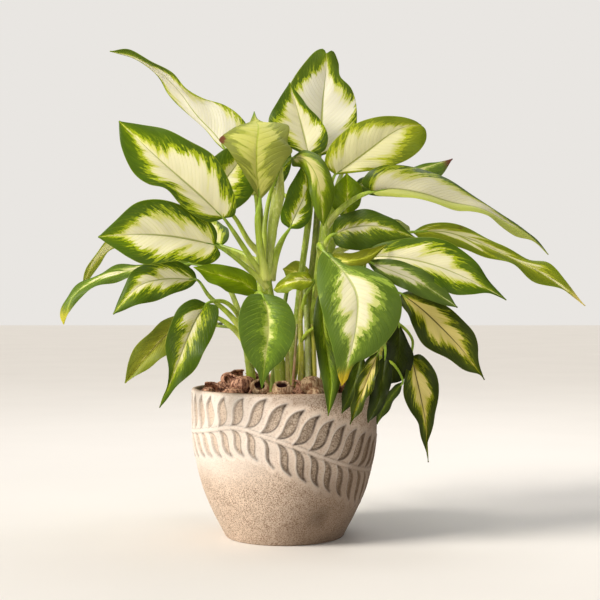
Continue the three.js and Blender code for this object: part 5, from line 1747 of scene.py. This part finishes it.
def turnBy(points, tilt, turn):
    a, b = math.radians(tilt), math.radians(turn)
    x, y, z = points.T
    y, z = y * math.cos(a) - z * math.sin(a), y * math.sin(a) + z * math.cos(a)
    return np.column_stack([x * math.cos(b) - y * math.sin(b), x * math.sin(b) + y * math.cos(b), z])


def huskMaterial(colour):
    material, tree, surface = newMaterial(colour + "_husk")
    made = grained(tree, husk[colour], husk["grain"], 0.5, husk["stretch"])
    hole = ease(painted(tree, "hollow"), 0.55, 0.7)
    dress(surface, mixed(hole, made["Color"], colourOf(husk["hole"])),
          ease(made["Mask"], 0.0, 1.0, 0.82, 0.66), made["Height"], 0.8, 0.0009)
    return material


def layHusks(rows, prefix, firstSeed, node=None):
    for index, (across, back, low, kind, size, turn, tilt, colour) in enumerate(rows):
        points, faces, hollow = podShape(kind, size, index + firstSeed)
        points = turnBy(points, tilt, turn)
        points += [across, back, low - points[:, 2].min()]
        piece = makePiece(f"{prefix}_{index + 1:02d}", points, faces, [huskSkins[colour]], None,
                          {"hollow": hollow})
        settle(piece, node and f"{node}_{index + 1:02d}")


huskSkins = {colour: huskMaterial(colour) for colour in ("brown", "tan")}
layHusks(pods, "husk", 0, "pod")
print("pods are made")
layHusks(upperHusks, "upper_husk", 40)


# Bark chips between the pods

chips = {
    "count": 170,
    "small": 3.0,
    "large": 7.0,
    "width": (0.4, 0.8),         # least and most, as a share of its length
    "height": (0.2, 0.4),
    "roughness": 0.28,
    "tilt": 25,
    "ring": 88,                  # none lies farther from the middle of the pot
    "rows": 7,
    "columns": 10,
    "colours": [(168, 116, 90), (92, 58, 42)],
    "grain": 420.0,
    "stretch": 0.5,
}


def chipShape(chance, n):
    reach = chips["ring"] * math.sqrt(chance.uniform(0.05, 1))
    angle = chance.uniform(0, wholeTurn)
    size = chance.uniform(chips["small"], chips["large"])
    width = size * chance.uniform(*chips["width"])
    height = size * chance.uniform(*chips["height"])
    points = []
    for i in range(1, chips["rows"]):
        lift = math.pi * i / chips["rows"] - math.pi / 2
        for k in range(chips["columns"]):
            a = wholeTurn * k / chips["columns"]
            place = Vector((math.cos(a) * 1.5, math.sin(a) * 1.5, lift + n))
            rough = 1 + chips["roughness"] * noise.noise(place)
            points.append((size * rough * math.cos(a) * math.cos(lift) ** 0.5,
                           width * rough * math.sin(a) * math.cos(lift) ** 0.5,
                           height * rough * math.sin(lift)))
    points = np.array([*points, (0, 0, -height), (0, 0, height)], float)
    tilt = chance.uniform(-chips["tilt"], chips["tilt"])
    points = turnBy(points, tilt, chance.uniform(0, 360))
    points += [reach * math.sin(angle), -reach * math.cos(angle), soil["top"] + height * 0.4]
    faces = closedRings(chips["rows"] - 1, chips["columns"])
    return points, facingOut(points, faces), np.zeros((len(points), 2))


chance = random.Random(11)
points, faces, uv, slots = joinShapes([chipShape(chance, n) for n in range(chips["count"])])
chipSkin = grainMaterial("bark_chip", chips["colours"], chips["grain"], 0.5, chips["stretch"])
settle(makePiece("bark_chips", points, faces, [chipSkin]))
print("bark chips are made")


# Floor

def makeFloor():
    half = studio["floorSize"] / 2
    points = [(-half, -half, 0), (half, -half, 0), (half, half, 0), (-half, half, 0)]
    material, tree, surface = newMaterial("painted_table")
    tone = ease(cloud(inPlace(tree), 3.0, 3.0), 0.2, 0.8, 0.97, 1.0)
    feed(surface["Base Color"], toned(colourOf(studio["floorColour"]), tone))
    surface["Roughness"].default_value = 0.6
    surface["Specular IOR Level"].default_value = 0.0
    makePiece("floor", points, [(0, 1, 2, 3)], [material], smooth=False)


makeFloor()
print("floor is made")
